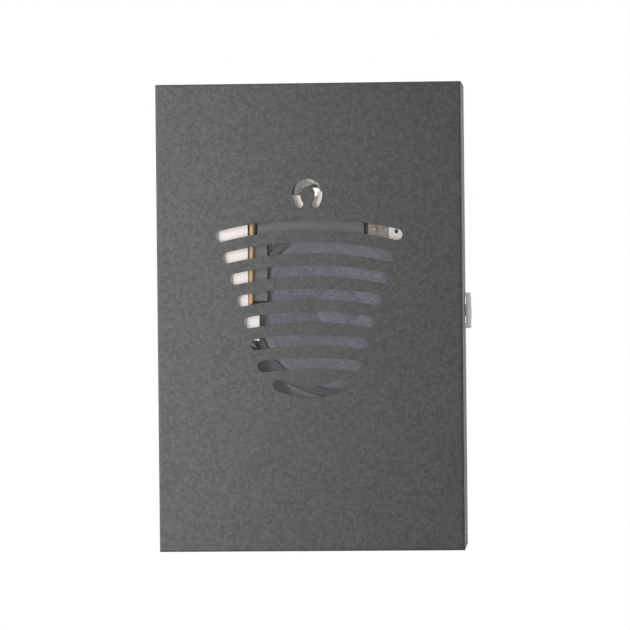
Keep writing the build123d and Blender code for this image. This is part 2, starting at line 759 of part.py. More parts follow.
# Parts soldered to the board
part_gap = 1.8
tall_row_inset = 16.0
chip_inset = 18.0
chip_length = 19.0
chip_width = 6.4
chip_height = 3.4
chip_standoff = 0.5
pin_count = 8
pin_pitch = 2.3
pin_width = 0.6
pin_row_spacing = 7.6
pin_thickness = 0.4
capacitor_inset = 15.0
capacitor_radius = 6.2
capacitor_height = 14.0
small_capacitor_radius = 4.0
small_capacitor_height = 11.5
rectifier_radius = 4.5
rectifier_height = 5.5
resistor_x = -11.0
resistor_inset = 25.0
resistor_pitch = 4.0
resistor_count = 5
resistor_radius = 1.15
resistor_length = 6.3
resistor_lift = 0.4
lead_wire_radius = 0.3
lead_wire_span = 10.2
transistor_pitch = 7.0
transistor_count = 3
transistor_radius = 2.4
transistor_height = 4.8
transistor_leg = 2.0
transistor_flat = 1.2

chip_x = -(board_width / 2 - chip_inset)
capacitor_x = board_width / 2 - capacitor_inset
small_capacitor_x = capacitor_x - capacitor_radius - small_capacitor_radius - part_gap
transistor_x = small_capacitor_x - small_capacitor_radius - transistor_radius - part_gap
chip_z = board_low_z + tall_row_inset
capacitor_z = chip_z
small_capacitor_z = chip_z
transistor_low_z = chip_z - transistor_pitch
resistor_low_z = board_low_z + resistor_inset

with BuildPart() as melody_chip:
    block(chip_x, chip_z, chip_length, chip_width, board_front + chip_standoff,
          board_front + chip_standoff + chip_height)
    chamfer(melody_chip.faces().sort_by(Axis.Y)[0].edges(), length=chip_standoff)
    # Moulded half-round mark at the end of pin one
    disc([(chip_x - chip_length / 2, chip_z)], chip_width / 6, board_front + chip_height,
         board_front + chip_height + overrun, Mode.SUBTRACT)
finish(melody_chip, "melody_chip")

with BuildPart() as chip_pins:
    shoulder = board_front + chip_standoff + chip_height / 2
    for side in (-1, 1):
        with BuildSketch(out(board_front)) as pin_feet:
            with Locations((chip_x, chip_z + side * (pin_row_spacing - pin_thickness) / 2)):
                with GridLocations(pin_pitch, pin_thickness, pin_count, 1):
                    Rectangle(pin_width, pin_thickness)
        extrude(pin_feet.sketch, amount=shoulder - board_front)
        reach = pin_row_spacing / 2 - chip_width / 2
        with BuildSketch(out(shoulder - pin_thickness)) as pin_tops:
            with Locations((chip_x, chip_z + side * (chip_width + reach) / 2)):
                with GridLocations(pin_pitch, reach, pin_count, 1):
                    Rectangle(pin_width, reach)
        extrude(pin_tops.sketch, amount=pin_thickness)
finish(chip_pins, "chip_pins")


def can(x, z, radius, height):
    """Capacitor can with its top stepped in at the crimp."""
    rim = radius / 10
    prism([(x, z)], radius, post_sides, board_front, board_front + height - rim)
    prism([(x, z)], radius - rim, post_sides, board_front + height - rim, board_front + height)


with BuildPart() as reservoir_capacitor:
    can(capacitor_x, capacitor_z, capacitor_radius, capacitor_height)
finish(reservoir_capacitor, "reservoir_capacitor")

with BuildPart() as coupling_capacitor:
    can(small_capacitor_x, small_capacitor_z, small_capacitor_radius, small_capacitor_height)
finish(coupling_capacitor, "coupling_capacitor")

with BuildPart() as resistors:
    for index in range(resistor_count):
        row_z = resistor_low_z + index * resistor_pitch
        row_depth = board_front + resistor_lift + resistor_radius
        middle = Plane(origin=(resistor_x, -row_depth, row_z), x_dir=(0, 1, 0), z_dir=(1, 0, 0))
        with BuildSketch(middle.offset(-resistor_length / 2)) as body:
            RegularPolygon(resistor_radius, head_sides)
        extrude(body.sketch, amount=resistor_length)
        leg_width = 2 * lead_wire_radius
        block(resistor_x, row_z, lead_wire_span, leg_width, row_depth - lead_wire_radius,
              row_depth + lead_wire_radius)
        for side in (-1, 1):
            leg_x = resistor_x + side * (lead_wire_span - leg_width) / 2
            block(leg_x, row_z, leg_width, leg_width, board_front, row_depth)
finish(resistors, "resistors")

with BuildPart() as transistors:
    for index in range(transistor_count):
        row_z = transistor_low_z + index * transistor_pitch
        start = board_front + transistor_leg
        prism([(transistor_x, row_z)], transistor_radius, head_sides, start, start + transistor_height)
        block(transistor_x - transistor_radius, row_z, 2 * (transistor_radius - transistor_flat),
              2 * transistor_radius, start, start + transistor_height, Mode.SUBTRACT)
        for side in (-1, 0, 1):
            block(transistor_x, row_z + side * transistor_flat, 2 * lead_wire_radius, 2 * lead_wire_radius,
                  board_front, start)
finish(transistors, "transistors")

# Terminal block for the bell wires: three poles with brass cages and screws
terminal_inset_x = 18.0
terminal_inset_z = 10.0
pole_count = 3
pole_pitch = 5.0
terminal_depth = 9.0
terminal_height = 10.0
terminal_lip = 2.0
cage_width = 3.6
cage_height = 5.0
cage_wall = 0.6
cage_lift = 1.0
terminal_screw_radius = 1.1
terminal_head_radius = 1.6
terminal_head_height = 1.4

block_width = pole_count * pole_pitch + terminal_lip / 2
terminal_x = board_width / 2 - terminal_inset_x
terminal_z = board_top_z - terminal_inset_z
terminal_front = board_front + terminal_height
cage_front = board_front + cage_lift + cage_height
pole_places = [(terminal_x + (index - (pole_count - 1) / 2) * pole_pitch, terminal_z)
               for index in range(pole_count)]

with BuildPart() as terminal_block:
    block(terminal_x, terminal_z, block_width, terminal_depth, board_front, terminal_front)
    chamfer(terminal_block.faces().sort_by(Axis.Y)[0].edges().filter_by(Axis.X), length=terminal_lip / 2)
    # Cage chambers, screw wells and the wire mouths that face the top of the box
    for x, z in pole_places:
        block(x, z + terminal_lip, cage_width, terminal_depth, board_front + cage_lift, cage_front,
              Mode.SUBTRACT)
    prism(pole_places, terminal_head_radius + screw_gap, head_sides, cage_front, terminal_front,
          Mode.SUBTRACT)
finish(terminal_block, "terminal_block")

with BuildPart() as terminal_cages:
    cage_depth_z = terminal_depth - 2 * terminal_lip
    for x, z in pole_places:
        block(x, z, cage_width, cage_depth_z, board_front + cage_lift, cage_front)
        block(x, z, cage_width - 2 * cage_wall, cage_depth_z, board_front + cage_lift + cage_wall,
              cage_front - 2 * cage_wall, Mode.SUBTRACT)
    prism(pole_places, terminal_screw_radius, shank_sides, cage_front - 2 * cage_wall, cage_front,
          Mode.SUBTRACT)
finish(terminal_cages, "terminal_cages")

with BuildPart() as terminal_screws:
    screws(pole_places, cage_front, terminal_head_radius, terminal_head_height, terminal_screw_radius,
               cage_height / 2)
finish(terminal_screws, "terminal_screws")

# Bridge rectifier beside the terminal block
rectifier_x = terminal_x - block_width / 2 - rectifier_radius - part_gap
rectifier_z = terminal_z

with BuildPart() as bridge_rectifier:
    prism([(rectifier_x, rectifier_z)], rectifier_radius, post_sides, board_front + chip_standoff,
          board_front + chip_standoff + rectifier_height)
    for dx in (-1, 1):
        for dz in (-1, 1):
            block(rectifier_x + dx * rectifier_radius / 2, rectifier_z + dz * rectifier_radius / 2,
                  2 * lead_wire_radius, 2 * lead_wire_radius, board_front, board_front + chip_standoff)
finish(bridge_rectifier, "bridge_rectifier")

# Volume switch at the board's right edge, and the slider that moves its lever
switch_inset = 0.4
switch_width = 7.0
switch_height = 13.0
switch_base_height = 1.2
switch_can_height = 3.8
can_sheet = 0.35
lever_width = 2.0
lever_depth = 1.8
slot_gap = 0.35
shoe_width = 4.4
shoe_height = 5.0
pad_outside = 2.1
pad_height = 11.6
pad_start = 1.3
pad_depth = 7.0
pad_edge = 0.6
carrier_thickness = 1.2
carrier_gap = 0.4
carrier_height = 13.0
fork_wall = 1.4
fork_gap = 0.06

switch_right_x = board_width / 2 - switch_inset
switch_x = switch_right_x - switch_width / 2
switch_front = board_front + switch_base_height + switch_can_height
lever_start = board_front + switch_base_height + slot_gap + can_sheet
pad_inside_x = cover_width / 2 + body_gap
pad_outside_x = cover_width / 2 + pad_outside
carrier_right_x = base_width / 2 - base_wall - carrier_gap
carrier_left_x = carrier_right_x - carrier_thickness

with BuildPart() as switch_base:
    block(switch_x, knob_z, switch_width, switch_height, board_front, board_front + switch_base_height)
finish(switch_base, "switch_base")

with BuildPart() as switch_can:
    can_start = board_front + switch_base_height
    block(switch_x, knob_z, switch_width, switch_height, can_start, switch_front)
    block(switch_x, knob_z, switch_width - 2 * can_sheet, switch_height - 2 * can_sheet, can_start,
          switch_front - can_sheet, Mode.SUBTRACT)
    slot_height = lever_width + 2 * (knob_travel + slot_gap)
    block(switch_right_x, knob_z, 2 * (can_sheet + overrun), slot_height, can_start,
          lever_start + lever_depth + slot_gap, Mode.SUBTRACT)
finish(switch_can, "switch_can")

with BuildPart() as switch_lever:
    shoe_x = switch_right_x - can_sheet - slot_gap - shoe_width / 2
    lever_left_x = shoe_x
    lever_right_x = carrier_left_x - slot_gap
    block(shoe_x, knob_z, shoe_width, shoe_height, lever_start, lever_start + lever_depth)
    block((lever_left_x + lever_right_x) / 2, knob_z, lever_right_x - lever_left_x, lever_width,
          lever_start, lever_start + lever_depth)
finish(switch_lever, "switch_lever")

with BuildPart() as volume_knob:
    pad_x = (pad_inside_x + pad_outside_x) / 2
    block(pad_x, knob_z, pad_outside_x - pad_inside_x, pad_height, pad_start, pad_start + pad_depth)
    fillet(volume_knob.edges().filter_by(Axis.X), radius=pad_edge)
    chamfer(volume_knob.faces().sort_by(Axis.X)[-1].edges(), length=pad_edge / 2)
    # Stem through the notches, carrier plate inside the base wall and the fork round the lever
    stem_width = pad_inside_x - carrier_left_x
    block(carrier_left_x + stem_width / 2, knob_z, stem_width, stem_height, stem_start,
          stem_start + stem_depth)
    block((carrier_left_x + carrier_right_x) / 2, knob_z, carrier_thickness, carrier_height, stem_start,
          lever_start + lever_depth)
    fork_left_x = switch_right_x + body_gap
    fork_width = carrier_left_x - fork_left_x
    for side in (-1, 1):
        fork_z = knob_z + side * (lever_width / 2 + fork_gap + fork_wall / 2)
        block(fork_left_x + fork_width / 2, fork_z, fork_width, fork_wall, lever_start,
              lever_start + lever_depth)
finish(volume_knob, "volume_knob")
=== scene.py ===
"""Doorbell chime box: finishes, fine detail, light and camera set round the fixed CAD frame.

The wall is the plane y = 0, the front looks along -Y and +Z is up. Sizes are in millimetres until a
mesh is made, and depths are counted out from the wall.
"""

import logging
import math
from dataclasses import dataclass, field
from enum import Enum
from functools import lru_cache

import bmesh
import bpy
from mathutils import Matrix, Vector


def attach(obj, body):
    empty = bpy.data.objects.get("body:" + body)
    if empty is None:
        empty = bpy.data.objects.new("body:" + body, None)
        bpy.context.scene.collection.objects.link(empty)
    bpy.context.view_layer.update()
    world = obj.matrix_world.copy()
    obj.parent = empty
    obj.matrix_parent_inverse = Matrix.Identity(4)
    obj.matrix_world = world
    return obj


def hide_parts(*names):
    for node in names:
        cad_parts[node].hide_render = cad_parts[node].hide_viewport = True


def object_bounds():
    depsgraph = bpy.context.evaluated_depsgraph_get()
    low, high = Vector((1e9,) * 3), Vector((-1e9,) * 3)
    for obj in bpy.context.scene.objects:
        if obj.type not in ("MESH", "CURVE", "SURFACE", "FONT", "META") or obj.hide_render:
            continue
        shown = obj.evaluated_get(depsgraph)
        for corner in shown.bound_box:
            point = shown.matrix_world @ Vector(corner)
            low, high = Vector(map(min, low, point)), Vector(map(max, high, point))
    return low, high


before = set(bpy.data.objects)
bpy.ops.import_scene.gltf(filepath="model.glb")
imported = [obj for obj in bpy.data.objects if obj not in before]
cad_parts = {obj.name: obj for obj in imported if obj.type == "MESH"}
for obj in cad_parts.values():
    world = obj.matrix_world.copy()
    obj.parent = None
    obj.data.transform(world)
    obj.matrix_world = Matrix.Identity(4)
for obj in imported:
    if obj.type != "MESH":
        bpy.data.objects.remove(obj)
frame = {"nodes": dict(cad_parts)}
CAD_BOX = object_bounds()

MM = 0.001
LOG = logging.getLogger("chime_box")
Point = tuple[float, float, float]
# Corners nearer than this, in millimetres, are one corner
MERGE_GAP = 0.001
# Where most of a noise texture's values lie, so that both tones of a finish show
NOISE_SPREAD = (0.32, 0.68)
# A Mix node's sockets for colours: the share of the upper one, the lower, the upper and the result
SHARE, LOWER, UPPER, MIXED = 0, 6, 7, 2
# The same for plain numbers, whose result is the first output
LOWER_NUMBER, UPPER_NUMBER = 2, 3
# In degrees: faces flatter than the first are one face, and edges sharper than the second are rounded
FLAT_ANGLE = 1
CREASE_ANGLE = 40


class Body(Enum):
    """The rigid bodies that a piece can ride on."""

    BASE = "base"
    COVER = "cover"
    SLIDER = "volume_slider"


class Pattern(Enum):
    """How a finish breaks up its colour."""

    GRAIN = (1.0, 1.0, 1.0)
    BRUSHED_ACROSS = (0.06, 1.0, 1.0)


def linear(colour: str) -> tuple[float, float, float, float]:
    """Turn an sRGB hex colour into linear values.

    Args:
        colour: six hex digits.

    Returns:
        Linear red, green, blue and an alpha of one.
    """
    shares = [int(colour[start:start + 2], 16) / 255 for start in (0, 2, 4)]
    red, green, blue = (s / 12.92 if s <= 0.04045 else ((s + 0.055) / 1.055) ** 2.4 for s in shares)
    return red, green, blue, 1.0


def add_node(tree: bpy.types.NodeTree, kind: str, values: dict | None = None, links: dict | None = None,
             **settings: object) -> bpy.types.Node:
    """Add one node with its settings, socket values and incoming links.

    Args:
        tree: the node tree that receives the node.
        kind: the node's type name.
        values: constant for each named or numbered input socket.
        links: output socket for each named or numbered input socket.
        settings: attributes of the node itself.

    Returns:
        The new node.
    """
    node = tree.nodes.new(kind)
    for name, setting in settings.items():
        setattr(node, name, setting)
    for name, constant in (values or {}).items():
        node.inputs[name].default_value = constant
    for name, output in (links or {}).items():
        tree.links.new(output, node.inputs[name])
    return node


def place(x: float, depth: float, z: float) -> Vector:
    """Scene point for a place given in millimetres, its depth counted out from the wall."""
    return Vector((x, -depth, z)) * MM


def mesh_object(name: str, points: list[Vector], faces: list[tuple[int, ...]], smooth: bool = True,
                edges: list[tuple[int, int]] | None = None) -> bpy.types.Object:
    """Make an object at the origin from points and faces.

    Args:
        name: the object's name.
        points: corners in scene units.
        faces: corner numbers of each face.
        smooth: whether the faces shade smoothly.
        edges: loose edges, for a route.

    Returns:
        The linked object.
    """
    mesh = bpy.data.meshes.new(name)
    mesh.from_pydata(points, edges or [], faces)
    mesh.update()
    if smooth and faces:
        mesh.shade_smooth()
    made = bpy.data.objects.new(name, mesh)
    bpy.context.scene.collection.objects.link(made)
    return made


def soften(piece: bpy.types.Object, angle: float = 35.0) -> bpy.types.Object:
    """Shade a piece smoothly, but leave its sharper edges crisp.

    Args:
        piece: the piece to shade.
        angle: the turn in degrees from which an edge stays crisp.

    Returns:
        The same piece.
    """
    piece.data.shade_smooth()
    piece.data.set_sharp_from_angle(angle=math.radians(angle))
    return piece


def settle(piece: bpy.types.Object, body: Body, nodes: tuple[str, ...] = ()) -> bpy.types.Object:
    """Ride a piece on its body and let it stand for CAD nodes.

    Args:
        piece: the finished piece.
        body: the body that it moves with.
        nodes: CAD nodes that the piece stands for.

    Returns:
        The same piece.
    """
    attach(piece, body.value)
    if nodes:
        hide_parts(*nodes)
    LOG.info("%s rides on %s", piece.name, body.value)
    return piece


@dataclass(frozen=True)
class Finish:
    """A surface whose two close tones are mixed by a fine grain that also stands in its relief."""

    name: str
    colour: str
    tone: str
    roughness: float
    grain_mm: float = 0.8
    relief_mm: float = 0.01
    metallic: float = 0.0
    sheen_level: float = 0.5
    pattern: Pattern = Pattern.GRAIN
    light_through: float = 0.0
    through_mm: float = 2.0

    def material(self) -> bpy.types.Material:
        """Build the node material, once for each finish."""
        return finish_material(self)

    def grain(self, tree: bpy.types.NodeTree) -> bpy.types.NodeSocket:
        """Draw noise in object space whose cells measure about the grain size.

        Args:
            tree: the material's node tree.

        Returns:
            The noise, from zero to one.
        """
        spot = add_node(tree, "ShaderNodeTexCoord")
        stretched = add_node(tree, "ShaderNodeMapping", {"Scale": self.pattern.value},
                             {"Vector": spot.outputs["Object"]})
        noise = add_node(tree, "ShaderNodeTexNoise",
                         {"Scale": 1 / (self.grain_mm * MM), "Detail": 3.0, "Roughness": 0.6},
                         {"Vector": stretched.outputs["Vector"]})
        return noise.outputs["Fac"]

    def tones(self, tree: bpy.types.NodeTree, grain: bpy.types.NodeSocket) -> bpy.types.NodeSocket:
        """Mix the two tones by the grain.

        Args:
            tree: the material's node tree.
            grain: the finish's grain, from zero to one.

        Returns:
            The mixed colour.
        """
        spread = add_node(tree, "ShaderNodeMapRange",
                          {"From Min": NOISE_SPREAD[0], "From Max": NOISE_SPREAD[1]}, {"Value": grain})
        mix = add_node(tree, "ShaderNodeMix", {LOWER: linear(self.colour), UPPER: linear(self.tone)},
                       {SHARE: spread.outputs["Result"]}, data_type="RGBA")
        return mix.outputs[MIXED]

    def relief(self, tree: bpy.types.NodeTree, grain: bpy.types.NodeSocket) -> bpy.types.NodeSocket:
        """Turn the grain into fine bumps of the relief's height.

        Args:
            tree: the material's node tree.
            grain: the finish's grain, from zero to one.

        Returns:
            The bumped normal.
        """
        bump = add_node(tree, "ShaderNodeBump", {"Strength": 1.0, "Distance": self.relief_mm * MM},
                        {"Height": grain})
        return bump.outputs["Normal"]


@lru_cache(maxsize=None)
def finish_material(finish: Finish) -> bpy.types.Material:
    """Build a finish's material.

    Args:
        finish: the finish to draw.

    Returns:
        The material, shared by every piece with that finish.
    """
    material = bpy.data.materials.new(finish.name)
    material.use_nodes = True
    tree = material.node_tree
    tree.nodes.clear()
    grain = finish.grain(tree)
    values = {"Roughness": finish.roughness, "Metallic": finish.metallic}
    if not finish.metallic:
        values["Specular IOR Level"] = finish.sheen_level
    if finish.light_through:
        values["Subsurface Weight"] = finish.light_through
        values["Subsurface Radius"] = (1.0, 1.0, 1.0)
        values["Subsurface Scale"] = finish.through_mm * MM
    surface = add_node(tree, "ShaderNodeBsdfPrincipled", values,
                       {"Base Color": finish.tones(tree, grain), "Normal": finish.relief(tree, grain)})
    add_node(tree, "ShaderNodeOutputMaterial", links={"Surface": surface.outputs["BSDF"]})
    return material


@dataclass(frozen=True)
class PowderCoat(Finish):
    """Sprayed and baked polyester coat: a fine sand over a gentle orange peel, almost without gloss."""

    sand_mm: float = 0.5
    sand_share: float = 0.4

    def grain(self, tree: bpy.types.NodeTree) -> bpy.types.NodeSocket:
        """Mix the peel's slow waves with the sand.

        Args:
            tree: the material's node tree.

        Returns:
            The mixed grain, from zero to one.
        """
        spot = add_node(tree, "ShaderNodeTexCoord")
        sand = add_node(tree, "ShaderNodeTexNoise", {"Scale": 1 / (self.sand_mm * MM), "Detail": 2.0},
                        {"Vector": spot.outputs["Object"]})
        mix = add_node(tree, "ShaderNodeMix", {SHARE: self.sand_share},
                       {LOWER_NUMBER: super().grain(tree), UPPER_NUMBER: sand.outputs["Fac"]})
        return mix.outputs[0]


@dataclass(frozen=True)
class PulpPaper(Finish):
    """Pressed grey pulp with pale fibres scattered through it."""

    fleck: str = "A5A4AD"
    fleck_mm: float = 0.7
    fleck_range: tuple[float, float] = (0.6, 0.95)

    def tones(self, tree: bpy.types.NodeTree, grain: bpy.types.NodeSocket) -> bpy.types.NodeSocket:
        """Scatter pale flecks over the two tones.

        Args:
            tree: the material's node tree.
            grain: the finish's grain, from zero to one.

        Returns:
            The pulp's colour with its flecks.
        """
        spot = add_node(tree, "ShaderNodeTexCoord")
        cells = add_node(tree, "ShaderNodeTexVoronoi", {"Scale": 1 / (self.fleck_mm * MM)},
                         {"Vector": spot.outputs["Object"]})
        picked = add_node(tree, "ShaderNodeMapRange",
                          {"From Min": self.fleck_range[0], "From Max": self.fleck_range[1]},
                          {"Value": cells.outputs["Color"]})
        mix = add_node(tree, "ShaderNodeMix", {UPPER: linear(self.fleck)},
                       {SHARE: picked.outputs["Result"], LOWER: super().tones(tree, grain)},
                       data_type="RGBA")
        return mix.outputs[MIXED]


@dataclass(frozen=True)
class BandedLacquer(Finish):
    """Dipped resistor body with plain value bands, painted round the X axis."""

    middle_x: float = 0.0
    band_mm: float = 0.75
    bands: tuple[tuple[float, str], ...] = (
        (-1.9, "6B3A1E"), (-0.5, "1C1C1C"), (0.9, "B5371F"), (2.2, "B08D3C"))

    def tones(self, tree: bpy.types.NodeTree, grain: bpy.types.NodeSocket) -> bpy.types.NodeSocket:
        """Lay each band over the lacquer where the distance along X says so.

        Args:
            tree: the material's node tree.
            grain: the finish's grain, from zero to one.

        Returns:
            The lacquer's colour with its bands.
        """
        colour = super().tones(tree, grain)
        spot = add_node(tree, "ShaderNodeTexCoord")
        apart = add_node(tree, "ShaderNodeSeparateXYZ", links={0: spot.outputs["Object"]})
        for offset, paint in self.bands:
            inside = add_node(tree, "ShaderNodeMath",
                              {1: (self.middle_x + offset) * MM, 2: self.band_mm / 2 * MM},
                              {0: apart.outputs["X"]}, operation="COMPARE")
            mix = add_node(tree, "ShaderNodeMix", {UPPER: linear(paint)},
                           {SHARE: inside.outputs[0], LOWER: colour}, data_type="RGBA")
            colour = mix.outputs[MIXED]
        return colour


@dataclass(frozen=True)
class LeggedResin(Finish):
    """Moulded resin body on bare tinned legs, which show below the body's back face."""

    leg_depth: float = 10.0
    leg_colour: str = "C4C4C0"
    leg_margin: float = 0.05

    def legs(self, tree: bpy.types.NodeTree) -> bpy.types.NodeSocket:
        """Tell the legs from the body by their depth.

        Args:
            tree: the material's node tree.

        Returns:
            One on the legs and zero on the body.
        """
        spot = add_node(tree, "ShaderNodeTexCoord")
        apart = add_node(tree, "ShaderNodeSeparateXYZ", links={0: spot.outputs["Object"]})
        below = add_node(tree, "ShaderNodeMath", {1: -(self.leg_depth - self.leg_margin) * MM},
                         {0: apart.outputs["Y"]}, operation="GREATER_THAN")
        return below.outputs[0]

    def tones(self, tree: bpy.types.NodeTree, grain: bpy.types.NodeSocket) -> bpy.types.NodeSocket:
        """Keep the resin's two tones off the legs.

        Args:
            tree: the material's node tree.
            grain: the finish's grain, from zero to one.

        Returns:
            The resin's colour, and tin on the legs.
        """
        mix = add_node(tree, "ShaderNodeMix", {UPPER: linear(self.leg_colour)},
                       {SHARE: self.legs(tree), LOWER: super().tones(tree, grain)}, data_type="RGBA")
        return mix.outputs[MIXED]


@dataclass(frozen=True)
class SolderMask(Finish):
    """Glass laminate under green mask, with the copper tracks standing a shade paler beneath it.

    The tracks are a random net, because the photograph doesn't show the board.
    """

    track: str = "3C6F40"
    track_mm: float = 3.2
    track_place: float = 0.62
    track_half: float = 0.05

    def tones(self, tree: bpy.types.NodeTree, grain: bpy.types.NodeSocket) -> bpy.types.NodeSocket:
        """Draw square-cornered tracks under the mask.

        Args:
            tree: the material's node tree.
            grain: the finish's grain, from zero to one.

        Returns:
            The mask's colour with its tracks.
        """
        spot = add_node(tree, "ShaderNodeTexCoord")
        cells = add_node(tree, "ShaderNodeTexVoronoi", {"Scale": 1 / (self.track_mm * MM), "Randomness": 0.6},
                         {"Vector": spot.outputs["Object"]}, distance="CHEBYCHEV", feature="F2",
                         voronoi_dimensions="3D")
        line = add_node(tree, "ShaderNodeMath", {1: self.track_place, 2: self.track_half},
                        {0: cells.outputs["Distance"]}, operation="COMPARE")
        mix = add_node(tree, "ShaderNodeMix", {UPPER: linear(self.track)},
                       {SHARE: line.outputs[0], LOWER: super().tones(tree, grain)}, data_type="RGBA")
        return mix.outputs[MIXED]


# Dark grey polyester powder on folded steel: no gloss to speak of, and a mottle of a few shades that
# softens every edge. The sand is drawn at 0.5 mm, coarser than it is, so that it shows
COAT = PowderCoat("powder_coated_steel_grey", "656565", "4A4A4A", roughness=0.7, grain_mm=1.3,
                  relief_mm=0.03, sheen_level=0.12)
# Moulded ABS: a warm white with a soft gloss, which lets a little light in
FRAME_ABS = Finish("moulded_abs_white", "E3DCD8", "E0D9D5", roughness=0.45, grain_mm=0.5,
                   relief_mm=0.004, light_through=0.1)
# Moulded ABS with an eroded grain: a duller ivory that hardly shines
BASE_ABS = Finish("moulded_abs_ivory", "E9E6DF", "E3DFD6", roughness=0.5, grain_mm=0.6, relief_mm=0.01)
# Moulded ABS with an eroded grain: a plain middle grey in the shade behind the slots
CRADLE_ABS = Finish("moulded_abs_grey", "868686", "7E7E7E", roughness=0.6, grain_mm=0.5, relief_mm=0.01,
                    sheen_level=0.3)
# Milky acetal: light spreads inside it, so that it looks soft and even and half clear at the edges
KNOB_ACETAL = Finish("moulded_acetal_milky", "F3EFF4", "EFEAF1", roughness=0.4, grain_mm=0.5,
                     relief_mm=0.004, light_through=1.0, through_mm=4.0)
# Green mask over glass laminate: smooth and glossy, with the tracks a shade paler beneath
BOARD_MASK = SolderMask("glass_laminate_green", "2B5730", "274F2B", roughness=0.35, grain_mm=0.7,
                        relief_mm=0.01)
# Pressed pulp: a purple grey with pale fibres, fully matt. The fibres are drawn at 0.7 mm, coarser
# than they are, so that they show
CONE_PAPER = PulpPaper("pressed_pulp_grey", "93929B", "888791", roughness=0.9, grain_mm=0.9,
                       relief_mm=0.04, sheen_level=0.15)
# The same pulp over the coil, so that cap and cone read as one through the slots
CAP_PAPER = PulpPaper("pressed_pulp_cap", "93929B", "888791", roughness=0.9, grain_mm=0.9,
                      relief_mm=0.04, sheen_level=0.15)
# Doped cloth: the grey of the paper without its fibres, and as dull
SURROUND_CLOTH = Finish("doped_cloth_grey", "8F8E97", "86858D", roughness=0.85, grain_mm=0.4,
                        relief_mm=0.03, sheen_level=0.2)
# Cotton dipped in resin: amber, dry and coarse
SPIDER_CLOTH = Finish("dipped_cotton_amber", "B98B4A", "A3783B", roughness=0.8, grain_mm=0.4,
                      relief_mm=0.05)
# Pressed card: a flat, darker grey round the cone
GASKET_CARD = Finish("pressed_card_grey", "737276", "6C6B6F", roughness=0.9, grain_mm=0.6,
                     relief_mm=0.03, sheen_level=0.2)
# Bright zinc plate: a cool silver whose reflections are drawn out by brushing
PLATED_STEEL = Finish("zinc_plated_steel", "B9BBBE", "A9ABAE", roughness=0.34, grain_mm=0.9,
                      relief_mm=0.004, metallic=1.0, pattern=Pattern.BRUSHED_ACROSS)
# Zinc plate in painted shade: darkened to the dim satin grey it shows inside the box, with faint long streaks
SHADED_CLAMP_STEEL = Finish("zinc_plated_steel_dull", "616160", "575756", roughness=0.55, grain_mm=0.7,
                     relief_mm=0.006, metallic=1.0, pattern=Pattern.BRUSHED_ACROSS)
# Ground ferrite: nearly black with a dry, faint shine
FERRITE = Finish("ground_ferrite", "353539", "2C2C30", roughness=0.6, grain_mm=0.6, relief_mm=0.02)
# Enamelled copper wire wound close: a deep orange gloss
COPPER = Finish("enamelled_copper", "B4602E", "9E5226", roughness=0.35, grain_mm=0.3, relief_mm=0.02,
                metallic=1.0)
# Paper laminate: a dull tan
STRIP_LAMINATE = Finish("paper_laminate_tan", "AD9E90", "A09183", roughness=0.65, grain_mm=0.5,
                        relief_mm=0.01)
# Dip-tinned brass: a grey silver with blurred reflections
TINNED = Finish("tinned_brass", "727270", "686866", roughness=0.5, grain_mm=0.4, relief_mm=0.006,
                metallic=1.0)
# Soft solder: smoother than the tin round it, so that each mound catches a point of light
SOLDER = Finish("soft_solder", "7E7F82", "737478", roughness=0.35, grain_mm=0.5, relief_mm=0.01,
                metallic=1.0)
# Extruded vinyl insulation: a pale copper brown with an even, waxy gloss
LEAD_BROWN = Finish("vinyl_insulation_brown", "BA9774", "B28E6B", roughness=0.45, grain_mm=0.6,
                    relief_mm=0.003)
# The same vinyl in an off white
LEAD_WHITE = Finish("vinyl_insulation_white", "E4E1DB", "DCD9D2", roughness=0.45, grain_mm=0.6,
                    relief_mm=0.003)
# Moulded rubber: black with almost no shine
RUBBER = Finish("moulded_rubber_black", "242424", "1E1E1E", roughness=0.7, grain_mm=0.5, relief_mm=0.01)
# Bright spring steel: the sharpest reflections in the box, drawn out along the strip
SPRING_STEEL = Finish("bright_spring_steel", "C8C8C8", "BABABA", roughness=0.28, grain_mm=0.5,
                      relief_mm=0.003, metallic=1.0, pattern=Pattern.BRUSHED_ACROSS)
# Moulded epoxy: black with the fine matt of its mould
CHIP_RESIN = Finish("moulded_epoxy_black", "1D1D1F", "171719", roughness=0.55, grain_mm=0.3,
                    relief_mm=0.008)
# The same epoxy on three tinned legs
TRANSISTOR_RESIN = LeggedResin("moulded_epoxy_on_legs", "1D1D1F", "171719", roughness=0.5, grain_mm=0.3,
                               relief_mm=0.008, leg_depth=10.0)
# The same epoxy on four tinned legs
RECTIFIER_RESIN = LeggedResin("moulded_epoxy_round", "1D1D1F", "171719", roughness=0.5, grain_mm=0.3,
                              relief_mm=0.008, leg_depth=8.5)
# Shrunk vinyl sleeve: navy with a tight gloss
SLEEVE = Finish("shrunk_sleeve_navy", "1E2B4A", "1A2541", roughness=0.3, grain_mm=0.8, relief_mm=0.004)
# Drawn aluminium: bright and cool with a soft blur
CAN_TOP = Finish("drawn_aluminium", "C9CACC", "BDBEC0", roughness=0.3, grain_mm=0.5, relief_mm=0.004,
                 metallic=1.0)
# Dipped lacquer: beige and glossy under painted bands
LACQUER = BandedLacquer("dipped_lacquer_beige", "C9AE88", "BFA37D", roughness=0.4, grain_mm=0.5,
                        relief_mm=0.006, middle_x=-11.0)
# Moulded nylon: a strong green with a soft gloss
BLOCK_NYLON = Finish("moulded_nylon_green", "2F7D4C", "296F43", roughness=0.38, grain_mm=0.5,
                     relief_mm=0.005)
# Plated brass: a pale yellow metal
CAGE_BRASS = Finish("plated_brass", "D9BF7A", "CDB26D", roughness=0.32, grain_mm=0.4, relief_mm=0.004,
                    metallic=1.0)
# Moulded phenolic: a soft black, half matt
SWITCH_RESIN = Finish("moulded_phenolic_black", "232325", "1C1C1E", roughness=0.5, grain_mm=0.4,
                      relief_mm=0.006)

